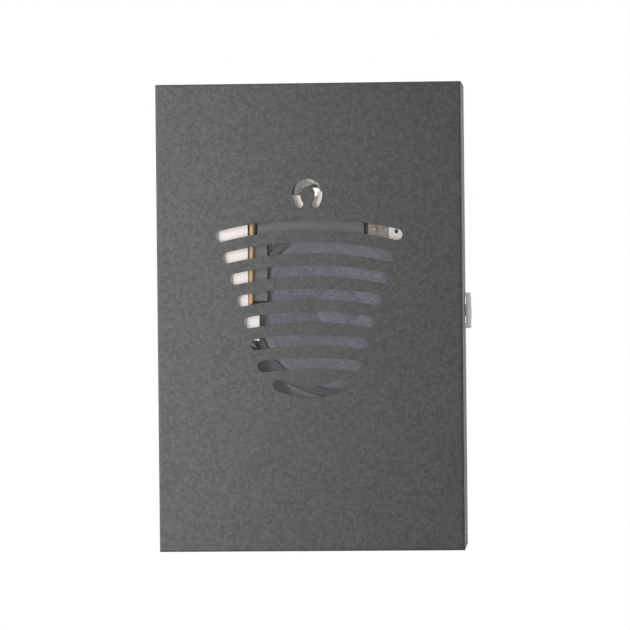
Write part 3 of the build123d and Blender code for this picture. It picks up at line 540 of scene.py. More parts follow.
NODE_FINISHES: dict[str, Finish] = {
    "cover": COAT, "base_plate": BASE_ABS, "front_frame": FRAME_ABS, "speaker_cradle": CRADLE_ABS,
    "volume_knob": KNOB_ACETAL, "circuit_board": BOARD_MASK, "speaker_cone": CONE_PAPER,
    "dust_cap": CAP_PAPER, "centring_spider": SPIDER_CLOTH, "speaker_surround": SURROUND_CLOTH,
    "speaker_gasket": GASKET_CARD, "speaker_basket": PLATED_STEEL, "speaker_magnet": FERRITE,
    "speaker_yoke": PLATED_STEEL, "speaker_top_plate": PLATED_STEEL, "voice_coil": COPPER,
    "speaker_clamp": SHADED_CLAMP_STEEL, "tag_strip": STRIP_LAMINATE, "tag_lugs": TINNED,
    "brown_lead": LEAD_BROWN, "white_lead": LEAD_WHITE, "cable_grommet": RUBBER,
    "cover_springs": SPRING_STEEL, "melody_chip": CHIP_RESIN, "chip_pins": TINNED,
    "reservoir_capacitor": SLEEVE, "coupling_capacitor": SLEEVE, "bridge_rectifier": RECTIFIER_RESIN,
    "transistors": TRANSISTOR_RESIN, "resistors": TINNED, "terminal_block": BLOCK_NYLON,
    "terminal_cages": CAGE_BRASS, "terminal_screws": PLATED_STEEL, "board_screws": PLATED_STEEL,
    "cradle_screws": PLATED_STEEL, "frame_screws": PLATED_STEEL, "switch_base": SWITCH_RESIN,
    "switch_can": TINNED, "switch_lever": SWITCH_RESIN,
}


def dress_nodes() -> None:
    """Give every carried-over CAD node the finish of its real counterpart."""
    for name, finish in NODE_FINISHES.items():
        node = frame["nodes"][name]
        node.data.materials.clear()
        node.data.materials.append(finish.material())


def turned(name: str, profile: list[tuple[float, float]], centre: tuple[float, float],
           sides: int = 96, gaps: tuple[int, float, int, int] | None = None) -> bpy.types.Object:
    """Turn a closed profile about an axis that leaves the wall.

    Args:
        name: the object's name.
        profile: radius and depth of each corner, a closed loop, or one that starts and ends on the axis.
        centre: the axis's x and z.
        sides: steps round the axis.
        gaps: windows as their count, their share of the turn, and the first and last profile span left out.

    Returns:
        The closed piece, or an open skin where it has windows.
    """
    mesh = bmesh.new()
    rings = []
    for radius, depth in profile:
        if radius == 0:
            rings.append([mesh.verts.new(place(centre[0], depth, centre[1]))] * sides)
            continue
        turns = [math.tau * step / sides for step in range(sides)]
        rings.append([mesh.verts.new(place(centre[0] + radius * math.cos(turn), depth,
                                           centre[1] + radius * math.sin(turn))) for turn in turns])
    closed = profile[0][0] > 0 and not gaps
    for span in range(len(rings) if closed else len(rings) - 1):
        low, high = rings[span], rings[(span + 1) % len(rings)]
        for step in range(sides):
            if gaps and gaps[2] <= span <= gaps[3] and (step * gaps[0] / sides) % 1 < gaps[1]:
                continue
            after = (step + 1) % sides
            corners = list(dict.fromkeys((low[step], low[after], high[after], high[step])))
            if len(corners) > 2:
                mesh.faces.new(corners)
    bmesh.ops.recalc_face_normals(mesh, faces=mesh.faces)
    return soften(from_bmesh(name, mesh))


def bridge(mesh: bmesh.types.BMesh, low: list[bmesh.types.BMVert], high: list[bmesh.types.BMVert]) -> None:
    """Join two rings of as many corners by a band of faces.

    Args:
        mesh: the mesh that both rings are in.
        low: one ring.
        high: the other ring.
    """
    for step in range(len(low)):
        mesh.faces.new((low[step - 1], low[step], high[step], high[step - 1]))


def from_bmesh(name: str, mesh: bmesh.types.BMesh) -> bpy.types.Object:
    """Turn a finished bmesh into an object at the origin, and free the bmesh.

    Args:
        name: the object's name.
        mesh: the finished bmesh.

    Returns:
        The linked object.
    """
    data = bpy.data.meshes.new(name)
    mesh.to_mesh(data)
    mesh.free()
    made = bpy.data.objects.new(name, data)
    bpy.context.scene.collection.objects.link(made)
    return made


def plain(piece: bpy.types.Object) -> bpy.types.Object:
    """Bake a piece's modifiers into its mesh and take them off.

    Args:
        piece: a piece with live modifiers.

    Returns:
        The same piece as a plain mesh.
    """
    evaluated = piece.evaluated_get(bpy.context.evaluated_depsgraph_get())
    baked = bpy.data.meshes.new_from_object(evaluated)
    baked.name = piece.name
    piece.modifiers.clear()
    piece.data = baked
    return piece


def dressed(piece: bpy.types.Object, finish: Finish) -> bpy.types.Object:
    """Give a piece one finish all over.

    Args:
        piece: the piece to dress.
        finish: what it is dressed in.

    Returns:
        The same piece.
    """
    piece.data.materials.clear()
    piece.data.materials.append(finish.material())
    return piece


def eased(node: str, name: str, width: float, steps: int = 2) -> bpy.types.Object:
    """Copy a CAD node with its sharp edges rounded off, as coating or moulding leaves them.

    Args:
        node: the CAD node that is copied.
        name: the copy's name.
        width: the rounding in millimetres.
        steps: faces across the rounding.

    Returns:
        The copy, a plain mesh in the node's place.
    """
    mesh = bmesh.new()
    mesh.from_mesh(frame["nodes"][node].data)
    bmesh.ops.remove_doubles(mesh, verts=mesh.verts, dist=MERGE_GAP * MM)
    bmesh.ops.dissolve_limit(mesh, angle_limit=math.radians(FLAT_ANGLE), verts=mesh.verts,
                              edges=mesh.edges)
    copy = from_bmesh(name, mesh)
    bevel = copy.modifiers.new("eased_edges", "BEVEL")
    bevel.width, bevel.segments = width * MM, steps
    bevel.limit_method, bevel.angle_limit = "ANGLE", math.radians(CREASE_ANGLE)
    bevel.use_clamp_overlap = True
    copy.data.shade_smooth()
    flats = copy.modifiers.new("flat_faces", "WEIGHTED_NORMAL")
    flats.weight = 100
    return plain(copy)


class ShapeTree:
    """A Geometry Nodes tree with named inputs that ends as one plain mesh of one finish."""

    def __init__(self, name: str, inputs: dict[str, tuple[str, float | int]]) -> None:
        """Open the tree.

        Args:
            name: the tree's name.
            inputs: socket type and starting value of each named input.
        """
        self.tree = bpy.data.node_groups.new(name, "GeometryNodeTree")
        self.tree.interface.new_socket("Geometry", in_out="INPUT", socket_type="NodeSocketGeometry")
        self.tree.interface.new_socket("Geometry", in_out="OUTPUT", socket_type="NodeSocketGeometry")
        self.identifiers = {}
        for label, (kind, start) in inputs.items():
            socket = self.tree.interface.new_socket(label, in_out="INPUT", socket_type=kind)
            socket.default_value = start
            self.identifiers[label] = socket.identifier
        self.entry = add_node(self.tree, "NodeGroupInput")

    def add(self, kind: str, values: dict | None = None, links: dict | None = None,
            **settings: object) -> bpy.types.Node:
        """Add a node to the tree, as add_node does."""
        return add_node(self.tree, kind, values, links, **settings)

    def close(self, shape: bpy.types.NodeSocket, finish: Finish) -> None:
        """End the tree in real geometry of one finish.

        Args:
            shape: the geometry to end with.
            finish: what it is dressed in.
        """
        real = self.add("GeometryNodeRealizeInstances", links={0: shape})
        dress = self.add("GeometryNodeSetMaterial", {"Material": finish.material()},
                         {"Geometry": real.outputs[0]})
        self.add("NodeGroupOutput", links={0: dress.outputs[0]})

    def grow(self, name: str, seeds: list[Vector], edges: list[tuple[int, int]] | None = None,
             **sizes: float | int) -> bpy.types.Object:
        """Run the tree on points or on a route.

        Args:
            name: the new piece's name.
            seeds: the points.
            edges: how they are joined, for a route.
            sizes: values for the named inputs, with _ for a space.

        Returns:
            A plain mesh with no modifier left on it.
        """
        piece = mesh_object(name, seeds, [], smooth=False, edges=edges)
        modifier = piece.modifiers.new(self.tree.name, "NODES")
        modifier.node_group = self.tree
        for label, size in sizes.items():
            modifier[self.identifiers[label.replace("_", " ")]] = size
        return plain(piece)


class Drive(Enum):
    """The recess in a screw's head, as arm length and half width in shares of the head's radius."""

    CROSS = (0.55, 0.11)
    SLOT = (0.8, 0.12)


@dataclass(frozen=True)
class ScrewShape:
    """A plated pan-head screw, sized in millimetres, whose head rests at depth zero."""

    head_radius: float
    head_height: float
    shank_radius: float
    shank_length: float
    drive: Drive = Drive.CROSS
    sides: int = 24

    def recess(self) -> list[tuple[float, float]]:
        """Draw the recess's outline.

        Returns:
            Its corners as x and z, anticlockwise.
        """
        arm, half = (share * self.head_radius for share in self.drive.value)
        if self.drive is Drive.SLOT:
            return [(arm, -half), (arm, half), (-arm, half), (-arm, -half)]
        corners = []
        for turn in range(4):
            across, up = math.cos(turn * math.pi / 2), math.sin(turn * math.pi / 2)
            for x, z in ((arm, -half), (arm, half), (half, half)):
                corners.append((x * across - z * up, x * up + z * across))
        return corners

    def pattern(self) -> bpy.types.Object:
        """Build one screw at the origin for the tree to repeat.

        Returns:
            The screw, which the caller takes away.
        """
        mesh = bmesh.new()
        skirt_share, shoulder_share, shoulder_radius_share, crown_share = 0.45, 0.75, 0.96, 0.86
        floor_share, floor_height_share = 0.8, 0.4
        spans = [(self.shank_radius, -self.shank_length), (self.shank_radius, 0.0), (self.head_radius, 0.0),
                 (self.head_radius, skirt_share * self.head_height),
                 (shoulder_radius_share * self.head_radius, shoulder_share * self.head_height),
                 (crown_share * self.head_radius, self.head_height)]
        rings = [[mesh.verts.new(place(radius * math.cos(math.tau * step / self.sides), depth,
                                       radius * math.sin(math.tau * step / self.sides)))
                  for step in range(self.sides)] for radius, depth in spans]
        for low, high in zip(rings, rings[1:]):
            bridge(mesh, low, high)
        mesh.faces.new(rings[0])
        mouth = [mesh.verts.new(place(x, self.head_height, z)) for x, z in self.recess()]
        bed_height = floor_height_share * self.head_height
        floor = [mesh.verts.new(place(floor_share * x, bed_height, floor_share * z))
                 for x, z in self.recess()]
        bridge(mesh, mouth, floor)
        rim = [mesh.edges.get((rings[-1][step - 1], rings[-1][step])) for step in range(self.sides)]
        rim += [mesh.edges.get((mouth[index - 1], mouth[index])) for index in range(len(mouth))]
        bmesh.ops.triangle_fill(mesh, edges=rim, use_beauty=True)
        bed = [mesh.edges.get((floor[index - 1], floor[index])) for index in range(len(floor))]
        bmesh.ops.triangle_fill(mesh, edges=bed, use_beauty=True)
        bmesh.ops.recalc_face_normals(mesh, faces=mesh.faces)
        return soften(from_bmesh("screw_pattern", mesh), angle=30)


@dataclass
class Fixings:
    """Every screw in the box, set at random turns in its seats."""

    board: tuple[tuple[float, float], ...] = ((-38.0, -54.0), (-38.0, 62.0), (38.0, -54.0), (38.0, 62.0))
    cradle: tuple[tuple[float, float], ...] = ((-37.0, -21.5), (-37.0, 36.5), (37.0, -21.5), (37.0, 36.5))
    frame: tuple[tuple[float, float], ...] = ((-38.0, 28.0), (-38.0, -2.9), (38.0, 27.2))
    terminals: tuple[tuple[float, float], ...] = ((19.0, 56.0), (24.0, 56.0), (29.0, 56.0))

    def row(self, node: str, places: tuple[tuple[float, float], ...], seat: float, shape: ScrewShape,
            seed: int) -> None:
        """Set one kind of screw in its seats.

        Args:
            node: the CAD node that the row stands for.
            places: x and z of each screw.
            seat: the depth that the heads rest at.
            shape: the kind of screw.
            seed: what the random turns start from.
        """
        pattern = shape.pattern()
        tree = ShapeTree(node + "_tree", {"Seed": ("NodeSocketInt", seed)})
        source = tree.add("GeometryNodeObjectInfo", {"Object": pattern})
        turn = tree.add("FunctionNodeRandomValue", {0: (0.0, 0.0, 0.0), 1: (0.0, math.tau, 0.0)},
                        {"Seed": tree.entry.outputs["Seed"]}, data_type="FLOAT_VECTOR")
        spread = tree.add("GeometryNodeInstanceOnPoints",
                          links={"Points": tree.entry.outputs["Geometry"],
                                 "Instance": source.outputs["Geometry"], "Rotation": turn.outputs[0]})
        tree.close(spread.outputs[0], PLATED_STEEL)
        piece = tree.grow(node.replace("_screws", "_pan_heads"), [place(x, seat, z) for x, z in places],
                          Seed=seed)
        bpy.data.objects.remove(pattern)
        settle(soften(piece, angle=30), Body.BASE, (node,))

    def build(self) -> None:
        """Set all four kinds."""
        self.row("board_screws", self.board, seat=8.0, seed=3, shape=ScrewShape(
            head_radius=2.4, head_height=1.5, shank_radius=1.0, shank_length=4.8))
        self.row("cradle_screws", self.cradle, seat=17.0, seed=5, shape=ScrewShape(
            head_radius=2.6, head_height=2.0, shank_radius=1.25, shank_length=11.0))
        self.row("frame_screws", self.frame, seat=32.95, seed=8, shape=ScrewShape(
            head_radius=2.1, head_height=1.3, shank_radius=1.0, shank_length=7.5))
        self.row("terminal_screws", self.terminals, seat=14.0, seed=13, shape=ScrewShape(
            head_radius=1.6, head_height=1.4, shank_radius=1.1, shank_length=2.5, drive=Drive.SLOT))


@dataclass
class Loudspeaker:
    """The 57 mm paper loudspeaker, turned about one axis that leaves the wall."""

    centre: tuple[float, float] = (8.9, 2.6)
    flange_radius: float = 28.4
    flange_front: float = 31.0
    gasket_back: float = 31.25
    gasket_front: float = 31.95
    cone_radius: float = 21.6
    neck_radius: float = 5.6
    neck_depth: float = 25.35
    rim_drop: float = 0.25
    flare: float = 0.35
    paper: float = 0.5
    cap_radius: float = 7.0
    cap_height: float = 1.0
    cap_wall: float = 0.35
    gasket_inner: float = 25.8
    gasket_ease: float = 0.12
    cloth: float = 0.2
    glue: float = 0.02
    roll_inner: float = 22.5
    roll_outer: float = 24.9
    roll_height: float = 0.24
    rim_overlap: float = 0.1
    lip_radius: float = 27.5
    lip_gap: float = 0.01
    spider_radius: float = 14.6
    spider_depth: float = 24.12
    spider_fillet: float = 0.05
    ripple_height: float = 0.12
    ripple_pitch: float = 1.8
    # The basket's sheet from its floor over the spider's seat and up the sloping wall to the flange
    basket_line: tuple[tuple[float, float], ...] = (
        (8.2, 22.55), (12.3, 22.55), (12.9, 22.9), (13.1, 23.65), (15.0, 23.75), (16.4, 24.4),
        (24.4, 29.2), (25.5, 30.3), (26.2, 30.6))
    basket_sides: int = 100
    basket_sheet: float = 0.7
    flange_inset: float = 0.3
    # Five windows in the sloping wall, which is the sixth span of the line
    windows: tuple[int, float, int, int] = (5, 0.62, 5, 5)
    pole_radius: float = 5.0
    coil_gap_radius: float = 6.3
    magnet_inner: float = 8.5
    magnet_radius: float = 16.0
    magnet_ease: float = 0.35
    yoke_radius: float = 14.5
    yoke_ease: float = 0.4
    pole_ease: float = 0.3
    plate_ease: float = 0.2
    yoke_back: float = 12.0
    magnet_back: float = 14.2
    magnet_front: float = 20.2
    plate_front: float = 22.2

    def paper_line(self, radius: float) -> float:
        """Follow the cone's back face, with the slight flare that the press gives it.

        Args:
            radius: the distance from the axis.

        Returns:
            The depth of the back face there.
        """
        share = (radius - self.neck_radius) / (self.cone_radius - self.neck_radius)
        rise = self.flange_front - self.rim_drop - self.neck_depth
        return self.neck_depth + rise * share + self.flare * math.sin(math.pi * share)

    def cone(self) -> None:
        """Curved paper cone with its neck glued to the former."""
        steps = 24
        radii = [self.neck_radius + (self.cone_radius - self.neck_radius) * step / steps
                 for step in range(steps + 1)]
        back = [(radius, self.paper_line(radius)) for radius in radii]
        front = [(radius, depth + self.paper) for radius, depth in reversed(back)]
        piece = dressed(turned("paper_cone", back + front, self.centre), CONE_PAPER)
        settle(piece, Body.BASE, ("speaker_cone",))

    def surround(self) -> None:
        """Doped cloth ring with one half roll between the cone's rim and the glued lip."""
        steps = 12
        middle, half = (self.roll_inner + self.roll_outer) / 2, (self.roll_outer - self.roll_inner) / 2
        turns = [math.pi * step / steps for step in range(steps + 1)]
        roll = [(middle - half * math.cos(turn), self.gasket_back + self.roll_height * math.sin(turn))
                for turn in turns]
        rim, seat = self.cone_radius - self.rim_overlap, self.flange_front + self.glue
        back = [(rim, seat)] + [(radius, depth - self.cloth) for radius, depth in roll]
        back += [(self.lip_radius, seat)]
        front = [(self.lip_radius, self.gasket_back - self.lip_gap)] + roll[::-1]
        front += [(rim, self.gasket_back)]
        piece = dressed(turned("cloth_surround", back + front, self.centre), SURROUND_CLOTH)
        settle(piece, Body.BASE, ("speaker_surround",))

    def cap(self) -> None:
        """Domed paper cap over the coil, glued by a narrow foot."""
        steps, wall = 12, self.cap_wall
        foot = self.paper_line(self.cap_radius) + self.paper
        arc = [(self.cap_radius * (1 - step / steps), foot + self.cap_height * (1 - (1 - step / steps)**2))
               for step in range(steps)]
        inside = [(radius - wall, max(depth - wall, foot)) for radius, depth in arc if radius > 2 * wall]
        outer = arc + [(0.0, foot + self.cap_height)]
        profile = [(0.0, foot + self.cap_height - wall)] + inside[::-1] + outer
        piece = turned("domed_cap", profile, self.centre)
        settle(dressed(piece, CAP_PAPER), Body.BASE, ("dust_cap",))

    def ring(self, name: str, node: str, slot: str, finish: Finish, radii: tuple[float, float],
             depths: tuple[float, float], ease: float) -> None:
        """A washer-like piece with eased edges.

        Args:
            name: the piece's name.
            node: the CAD node that it stands for.
            slot: not used.
            finish: what it is made of.
            radii: inner and outer radius.
            depths: back and front depth.
            ease: the bevel on its edges.
        """
        (inner, outer), (back, front) = radii, depths
        loop = [(inner, back + ease), (inner + ease, back), (outer - ease, back), (outer, back + ease),
                (outer, front - ease), (outer - ease, front), (inner + ease, front), (inner, front - ease)]
        settle(dressed(turned(name, loop, self.centre), finish), Body.BASE, (node,))

    def basket(self) -> None:
        """Pressed basket with five windows in its sloping wall."""
        flange_depth = self.basket_line[-1][1]
        line = [*self.basket_line, (self.flange_radius - self.flange_inset, flange_depth)]
        piece = turned("pressed_basket", line, self.centre, self.basket_sides, self.windows)
        thick = piece.modifiers.new("sheet", "SOLIDIFY")
        thick.thickness, thick.offset = self.basket_sheet * MM, 0.0
        settle(dressed(soften(plain(piece)), PLATED_STEEL), Body.BASE, ("speaker_basket",))

    def spider(self) -> None:
        """Amber cloth disc pressed into ripples."""
        steps, width = 48, self.spider_radius - self.neck_radius
        radii = [self.neck_radius + self.spider_fillet + width * step / steps for step in range(steps + 1)]
        front = []
        for radius in radii:
            wave = math.sin(math.tau * (radius - self.neck_radius) / self.ripple_pitch)
            front.append((radius, self.spider_depth + self.ripple_height * wave + self.cloth / 2))
        back = [(radius, depth - self.cloth) for radius, depth in reversed(front)]
        settle(dressed(turned("rippled_spider", front + back, self.centre), SPIDER_CLOTH), Body.BASE,
               ("centring_spider",))

    def yoke(self) -> None:
        """Back plate and pole in one turned piece."""
        loop = [(0.0, self.yoke_back), (self.yoke_radius - self.yoke_ease, self.yoke_back),
                (self.yoke_radius, self.yoke_back + self.yoke_ease), (self.yoke_radius, self.magnet_back),
                (self.pole_radius, self.magnet_back), (self.pole_radius, self.plate_front - self.pole_ease),
                (self.pole_radius - self.pole_ease, self.plate_front), (0.0, self.plate_front)]
        settle(dressed(turned("pole_and_yoke", loop, self.centre), PLATED_STEEL), Body.BASE,
               ("speaker_yoke",))

    def build(self) -> None:
        """Make every turned piece of the loudspeaker."""
        self.cone()
        self.surround()
        self.cap()
        self.ring("card_gasket", "speaker_gasket", "gasket_card", GASKET_CARD,
                  (self.gasket_inner, self.flange_radius), (self.gasket_back, self.gasket_front),
                  self.gasket_ease)
        self.basket()
        self.spider()
        self.ring("ferrite_ring", "speaker_magnet", "magnet_ferrite", FERRITE,
                  (self.magnet_inner, self.magnet_radius), (self.magnet_back, self.magnet_front),
                  self.magnet_ease)
        self.ring("pole_plate", "speaker_top_plate", "plate_steel", PLATED_STEEL,
                  (self.coil_gap_radius, self.yoke_radius), (self.magnet_front, self.plate_front),
                  self.plate_ease)
        self.yoke()


@dataclass
class Leads:
    """The two insulated speaker leads, held at both ends, and the solder that ends them."""

    bend: float = 1.6
    brown: tuple[Point, ...] = ((20.7, 32.05, 33.2), (-18.35, 32.05, 33.2), (-18.35, 33.7, 29.6),
                                (-18.9, 33.7, 4.7), (-19.7, 32.85, 3.0), (-22.0, 32.85, 2.3),
                                (-22.0, 8.0, 2.3))
    white: tuple[Point, ...] = ((24.6, 32.05, 34.5), (-24.6, 32.05, 34.5), (-24.6, 32.05, -3.5),
                                (-18.0, 32.05, -9.3), (-18.0, 8.0, -9.3))
    brown_radius: float = 0.78
    white_radius: float = 0.6
    lugs: tuple[tuple[float, float], ...] = ((20.7, 28.0), (24.6, 28.0))
    lug_front: float = 32.85
    mound_height: float = 0.42
    mound_radius: float = 0.95
    mound_sunk: float = 0.05

    def lead(self, node: str, route: tuple[Point, ...], radius: float, finish: Finish) -> None:
        """Sweep one round lead along its route, its bends rounded off.

        Args:
            node: the CAD node that it stands for.
            route: x, depth and z of its corners.
            radius: half the insulation's thickness.
            finish: the insulation's finish.
        """
        tree = ShapeTree(node + "_tree",
                         {"Radius": ("NodeSocketFloat", MM), "Bend": ("NodeSocketFloat", MM)})
        line = tree.add("GeometryNodeMeshToCurve", links={"Mesh": tree.entry.outputs["Geometry"]})
        rounded = tree.add("GeometryNodeFilletCurve", {"Count": 8, "Limit Radius": True},
                           {"Curve": line.outputs[0], "Radius": tree.entry.outputs["Bend"]}, mode="POLY")
        section = tree.add("GeometryNodeCurvePrimitiveCircle", {"Resolution": 16},
                           {"Radius": tree.entry.outputs["Radius"]})
        tube = tree.add("GeometryNodeCurveToMesh", {"Fill Caps": True},
                        {"Curve": rounded.outputs[0], "Profile Curve": section.outputs[0]})
        tree.close(tube.outputs[0], finish)
        joins = [(index, index + 1) for index in range(len(route) - 1)]
        piece = tree.grow(node + "_sleeve", [place(*corner) for corner in route], joins,
                          Radius=radius * MM, Bend=self.bend * MM)
        settle(soften(piece, angle=50), Body.BASE, (node,))

    def solder(self) -> None:
        """A soft mound of solder on each lug."""
        steps, front = 6, self.lug_front
        turns = [math.pi / 2 * step / steps for step in range(steps)]
        mound = [(0.0, front - self.mound_sunk)]
        mound += [(self.mound_radius * math.cos(turn), front + self.mound_height * math.sin(turn))
                  for turn in turns]
        mound += [(0.0, front + self.mound_height)]
        for index, lug in enumerate(self.lugs):
            piece = dressed(turned(f"lug_solder_{index + 1}", mound, lug, sides=24), SOLDER)
            settle(piece, Body.BASE)

    def build(self) -> None:
        """Make both leads and their solder."""
        self.lead("brown_lead", self.brown, self.brown_radius, LEAD_BROWN)
        self.lead("white_lead", self.white, self.white_radius, LEAD_WHITE)
        self.solder()


@dataclass
class Housing:
    """The cover, and the plain solids behind and beside it whose edges are eased."""

    coat_ease: float = 0.12
    mould_ease: float = 0.25
    sheared_ease: float = 0.4
    notch: tuple[float, float] = (0.0, 39.15)
    notch_reach: float = 3.6
    notch_share: float = 0.62

    def narrow_notch(self, piece: bpy.types.Object) -> None:
        """Draw in the frame's driver notch, so that it hides behind the middle of the cover's ring.

        Args:
            piece: the frame's copy.
        """
        centre = Vector((self.notch[0] * MM, self.notch[1] * MM))
        for vertex in piece.data.vertices:
            off = Vector((vertex.co.x, vertex.co.z)) - centre
            if off.length < self.notch_reach * MM and off.y < 0:
                spot = centre + off * self.notch_share
                vertex.co.x, vertex.co.z = spot.x, spot.y

    def build(self) -> None:
        """Round the edges of the pieces that show, each in its own finish."""
        for node, name, finish, slot, body, width in (
                ("cover", "folded_cover", COAT, "cover_paint", Body.COVER, self.coat_ease),
                ("front_frame", "moulded_frame", FRAME_ABS, "frame_plastic", Body.BASE, self.mould_ease),
                ("speaker_clamp", "plated_clamp", SHADED_CLAMP_STEEL, "clamp_steel", Body.BASE, self.sheared_ease),
                ("terminal_block", "moulded_block", BLOCK_NYLON, "block_plastic", Body.BASE, self.coat_ease),
                ("volume_knob", "moulded_slider", KNOB_ACETAL, "knob_plastic", Body.SLIDER, self.coat_ease)):
            piece = eased(node, name, width)
            if node == "front_frame":
                self.narrow_notch(piece)
            settle(dressed(piece, finish), body, (node,))


@dataclass
class BoardParts:
    """Round parts on the circuit board: cans with pressed tops, and a row of banded resistors."""

    board_front: float = 8.0
    cans: tuple[tuple[str, float, float, float, float], ...] = (
        ("reservoir_capacitor", 27.0, -42.0, 6.2, 14.0), ("coupling_capacitor", 15.0, -42.0, 4.0, 11.5))
    can_sides: int = 48
    bore_share: float = 0.8
    foot_in: float = 0.2
    foot_up: float = 0.3
    neck_in: float = 0.35
    neck_rises: tuple[float, float, float] = (1.6, 2.0, 2.4)
    rim_roll: float = 0.7
    rim_bead: tuple[float, float] = (0.25, 0.2)
    rim_tuck: float = 0.5
    top_sunk: float = 0.25
    top_sheet: float = 0.4
    pinhole_share: float = 0.02
    vents: int = 3
    vent_reach: tuple[float, float] = (0.1, 0.9)
    vent_depth: float = 0.12
    resistor_x: float = -11.0
    resistor_low_z: float = -33.0
    resistor_pitch: float = 4.0
    resistor_count: int = 5
    resistor_lift: float = 0.4
    resistor_radius: float = 1.15
    resistor_half: float = 3.15
    # Radius at each distance from the end, over the bulge of the cap to the waist
    resistor_end: tuple[tuple[float, float], ...] = (
        (0.0, 0.0), (0.6, 0.0), (1.0, 0.25), (1.15, 0.8), (1.1, 1.4), (0.95, 1.8))
    wire_radius: float = 0.3
    wire_start: float = 3.0
    wire_half_span: float = 4.8
    wire_bend: float = 0.5

    def can(self, node: str, x: float, z: float, radius: float, height: float) -> None:
        """Sleeved can with a drawn-in neck and a rolled rim round its bright top.

        Args:
            node: the CAD node that it stands for.
            x: place across.
            z: place up.
            radius: the can's radius.
            height: how far it stands off the board.
        """
        foot, top = self.board_front, self.board_front + height
        bore = radius * self.bore_share
        neck_low, neck_waist, neck_high = (foot + rise for rise in self.neck_rises)
        bead_in, bead_down = self.rim_bead
        sleeve = [(bore, foot), (radius - self.foot_in, foot), (radius, foot + self.foot_up),
                  (radius, neck_low), (radius - self.neck_in, neck_waist), (radius, neck_high),
                  (radius, top - self.rim_roll), (radius - bead_in, top - bead_down),
                  (radius - self.rim_roll, top), (bore, top), (bore, top - self.rim_tuck)]
        settle(dressed(turned(node + "_sleeve", sleeve, (x, z), sides=self.can_sides), SLEEVE), Body.BASE,
               (node,))
        self.can_top(node, (x, z), bore, top - self.top_sunk)

    def can_top(self, node: str, centre: tuple[float, float], radius: float, level: float) -> None:
        """Bright disc that is set into the sleeve, with its vent lines pressed in.

        Args:
            node: the CAD node of its can.
            centre: the axis's x and z.
            radius: the disc's radius.
            level: the depth of its face.
        """
        mesh = bmesh.new()
        rings = []
        for share in (0.0, *self.vent_reach, 1.0):
            reach = max(share, self.pinhole_share) * radius
            ring = []
            for step in range(self.can_sides):
                turn = math.tau * step / self.can_sides
                scored = share in self.vent_reach and step % (self.can_sides // self.vents) == 0
                depth = level - self.vent_depth if scored else level
                ring.append(mesh.verts.new(place(centre[0] + reach * math.cos(turn), depth,
                                                 centre[1] + reach * math.sin(turn))))
            rings.append(ring)
        for low, high in zip(rings, rings[1:]):
            bridge(mesh, low, high)
        mesh.faces.new(rings[0])
        base = [mesh.verts.new(vert.co + Vector((0, self.top_sheet * MM, 0))) for vert in rings[-1]]
        bridge(mesh, rings[-1], base)
        mesh.faces.new(base)
        bmesh.ops.recalc_face_normals(mesh, faces=mesh.faces)
        disc = dressed(soften(from_bmesh(node + "_top", mesh), angle=20), CAN_TOP)
        settle(disc, Body.BASE)

    def resistor_body(self) -> bpy.types.Object:
        """Build one waisted body along X at the first place of the row.

        Returns:
            The body, which the caller takes away.
        """
        depth = self.board_front + self.resistor_lift + self.resistor_radius
        profile = [(radius, along - self.resistor_half) for radius, along in self.resistor_end]
        profile += [(radius, self.resistor_half - along) for radius, along in reversed(self.resistor_end)]
        body = turned("resistor_pattern", profile, (0.0, 0.0), sides=24)
        body.data.transform(Matrix.Rotation(math.pi / 2, 4, "Z"))
        body.data.transform(Matrix.Translation(place(self.resistor_x, depth, self.resistor_low_z)))
        return body

    def resistors(self) -> None:
        """Repeat the body up the board and give each one its legs."""
        body = self.resistor_body()
        bodies = ShapeTree("resistor_row_tree",
                           {"Count": ("NodeSocketInt", 1), "Pitch": ("NodeSocketFloat", MM)})
        step = bodies.add("ShaderNodeCombineXYZ", links={"Z": bodies.entry.outputs["Pitch"]})
        line = bodies.add("GeometryNodeMeshLine", links={"Count": bodies.entry.outputs["Count"],
                                                         "Offset": step.outputs[0]})
        source = bodies.add("GeometryNodeObjectInfo", {"Object": body})
        spread = bodies.add("GeometryNodeInstanceOnPoints",
                            links={"Points": line.outputs[0], "Instance": source.outputs["Geometry"]})
        bodies.close(spread.outputs[0], LACQUER)
        row = bodies.grow("banded_resistors", [Vector()], Count=self.resistor_count,
                          Pitch=self.resistor_pitch * MM)
        bpy.data.objects.remove(body)
        settle(soften(row, angle=40), Body.BASE, ("resistors",))
        self.resistor_legs()

    def resistor_legs(self) -> None:
        """Bend a wire from each end of each body down to the board."""
        depth = self.board_front + self.resistor_lift + self.resistor_radius
        legs = ShapeTree("resistor_leg_tree", {"Radius": ("NodeSocketFloat", MM)})
        route = legs.add("GeometryNodeMeshToCurve", links={"Mesh": legs.entry.outputs["Geometry"]})
        section = legs.add("GeometryNodeCurvePrimitiveCircle", {"Resolution": 8},
                           {"Radius": legs.entry.outputs["Radius"]})
        tube = legs.add("GeometryNodeCurveToMesh", {"Fill Caps": True},
                        {"Curve": route.outputs[0], "Profile Curve": section.outputs[0]})
        legs.close(tube.outputs[0], TINNED)
        corners, joins = [], []
        for index in range(self.resistor_count):
            z = self.resistor_low_z + index * self.resistor_pitch
            for side in (-1, 1):
                first = len(corners)
                foot_x = self.resistor_x + side * self.wire_half_span
                corners += [place(self.resistor_x + side * self.wire_start, depth, z),
                            place(self.resistor_x + side * (self.wire_half_span - self.wire_bend), depth, z),
                            place(foot_x, depth - self.wire_bend, z), place(foot_x, self.board_front, z)]
                joins += [(first + part, first + part + 1) for part in range(3)]
        piece = legs.grow("resistor_legs", corners, joins, Radius=self.wire_radius * MM)
        settle(soften(piece, angle=60), Body.BASE)

    def build(self) -> None:
        """Make the cans and the resistors."""
        for can in self.cans:
            self.can(*can)
        self.resistors()


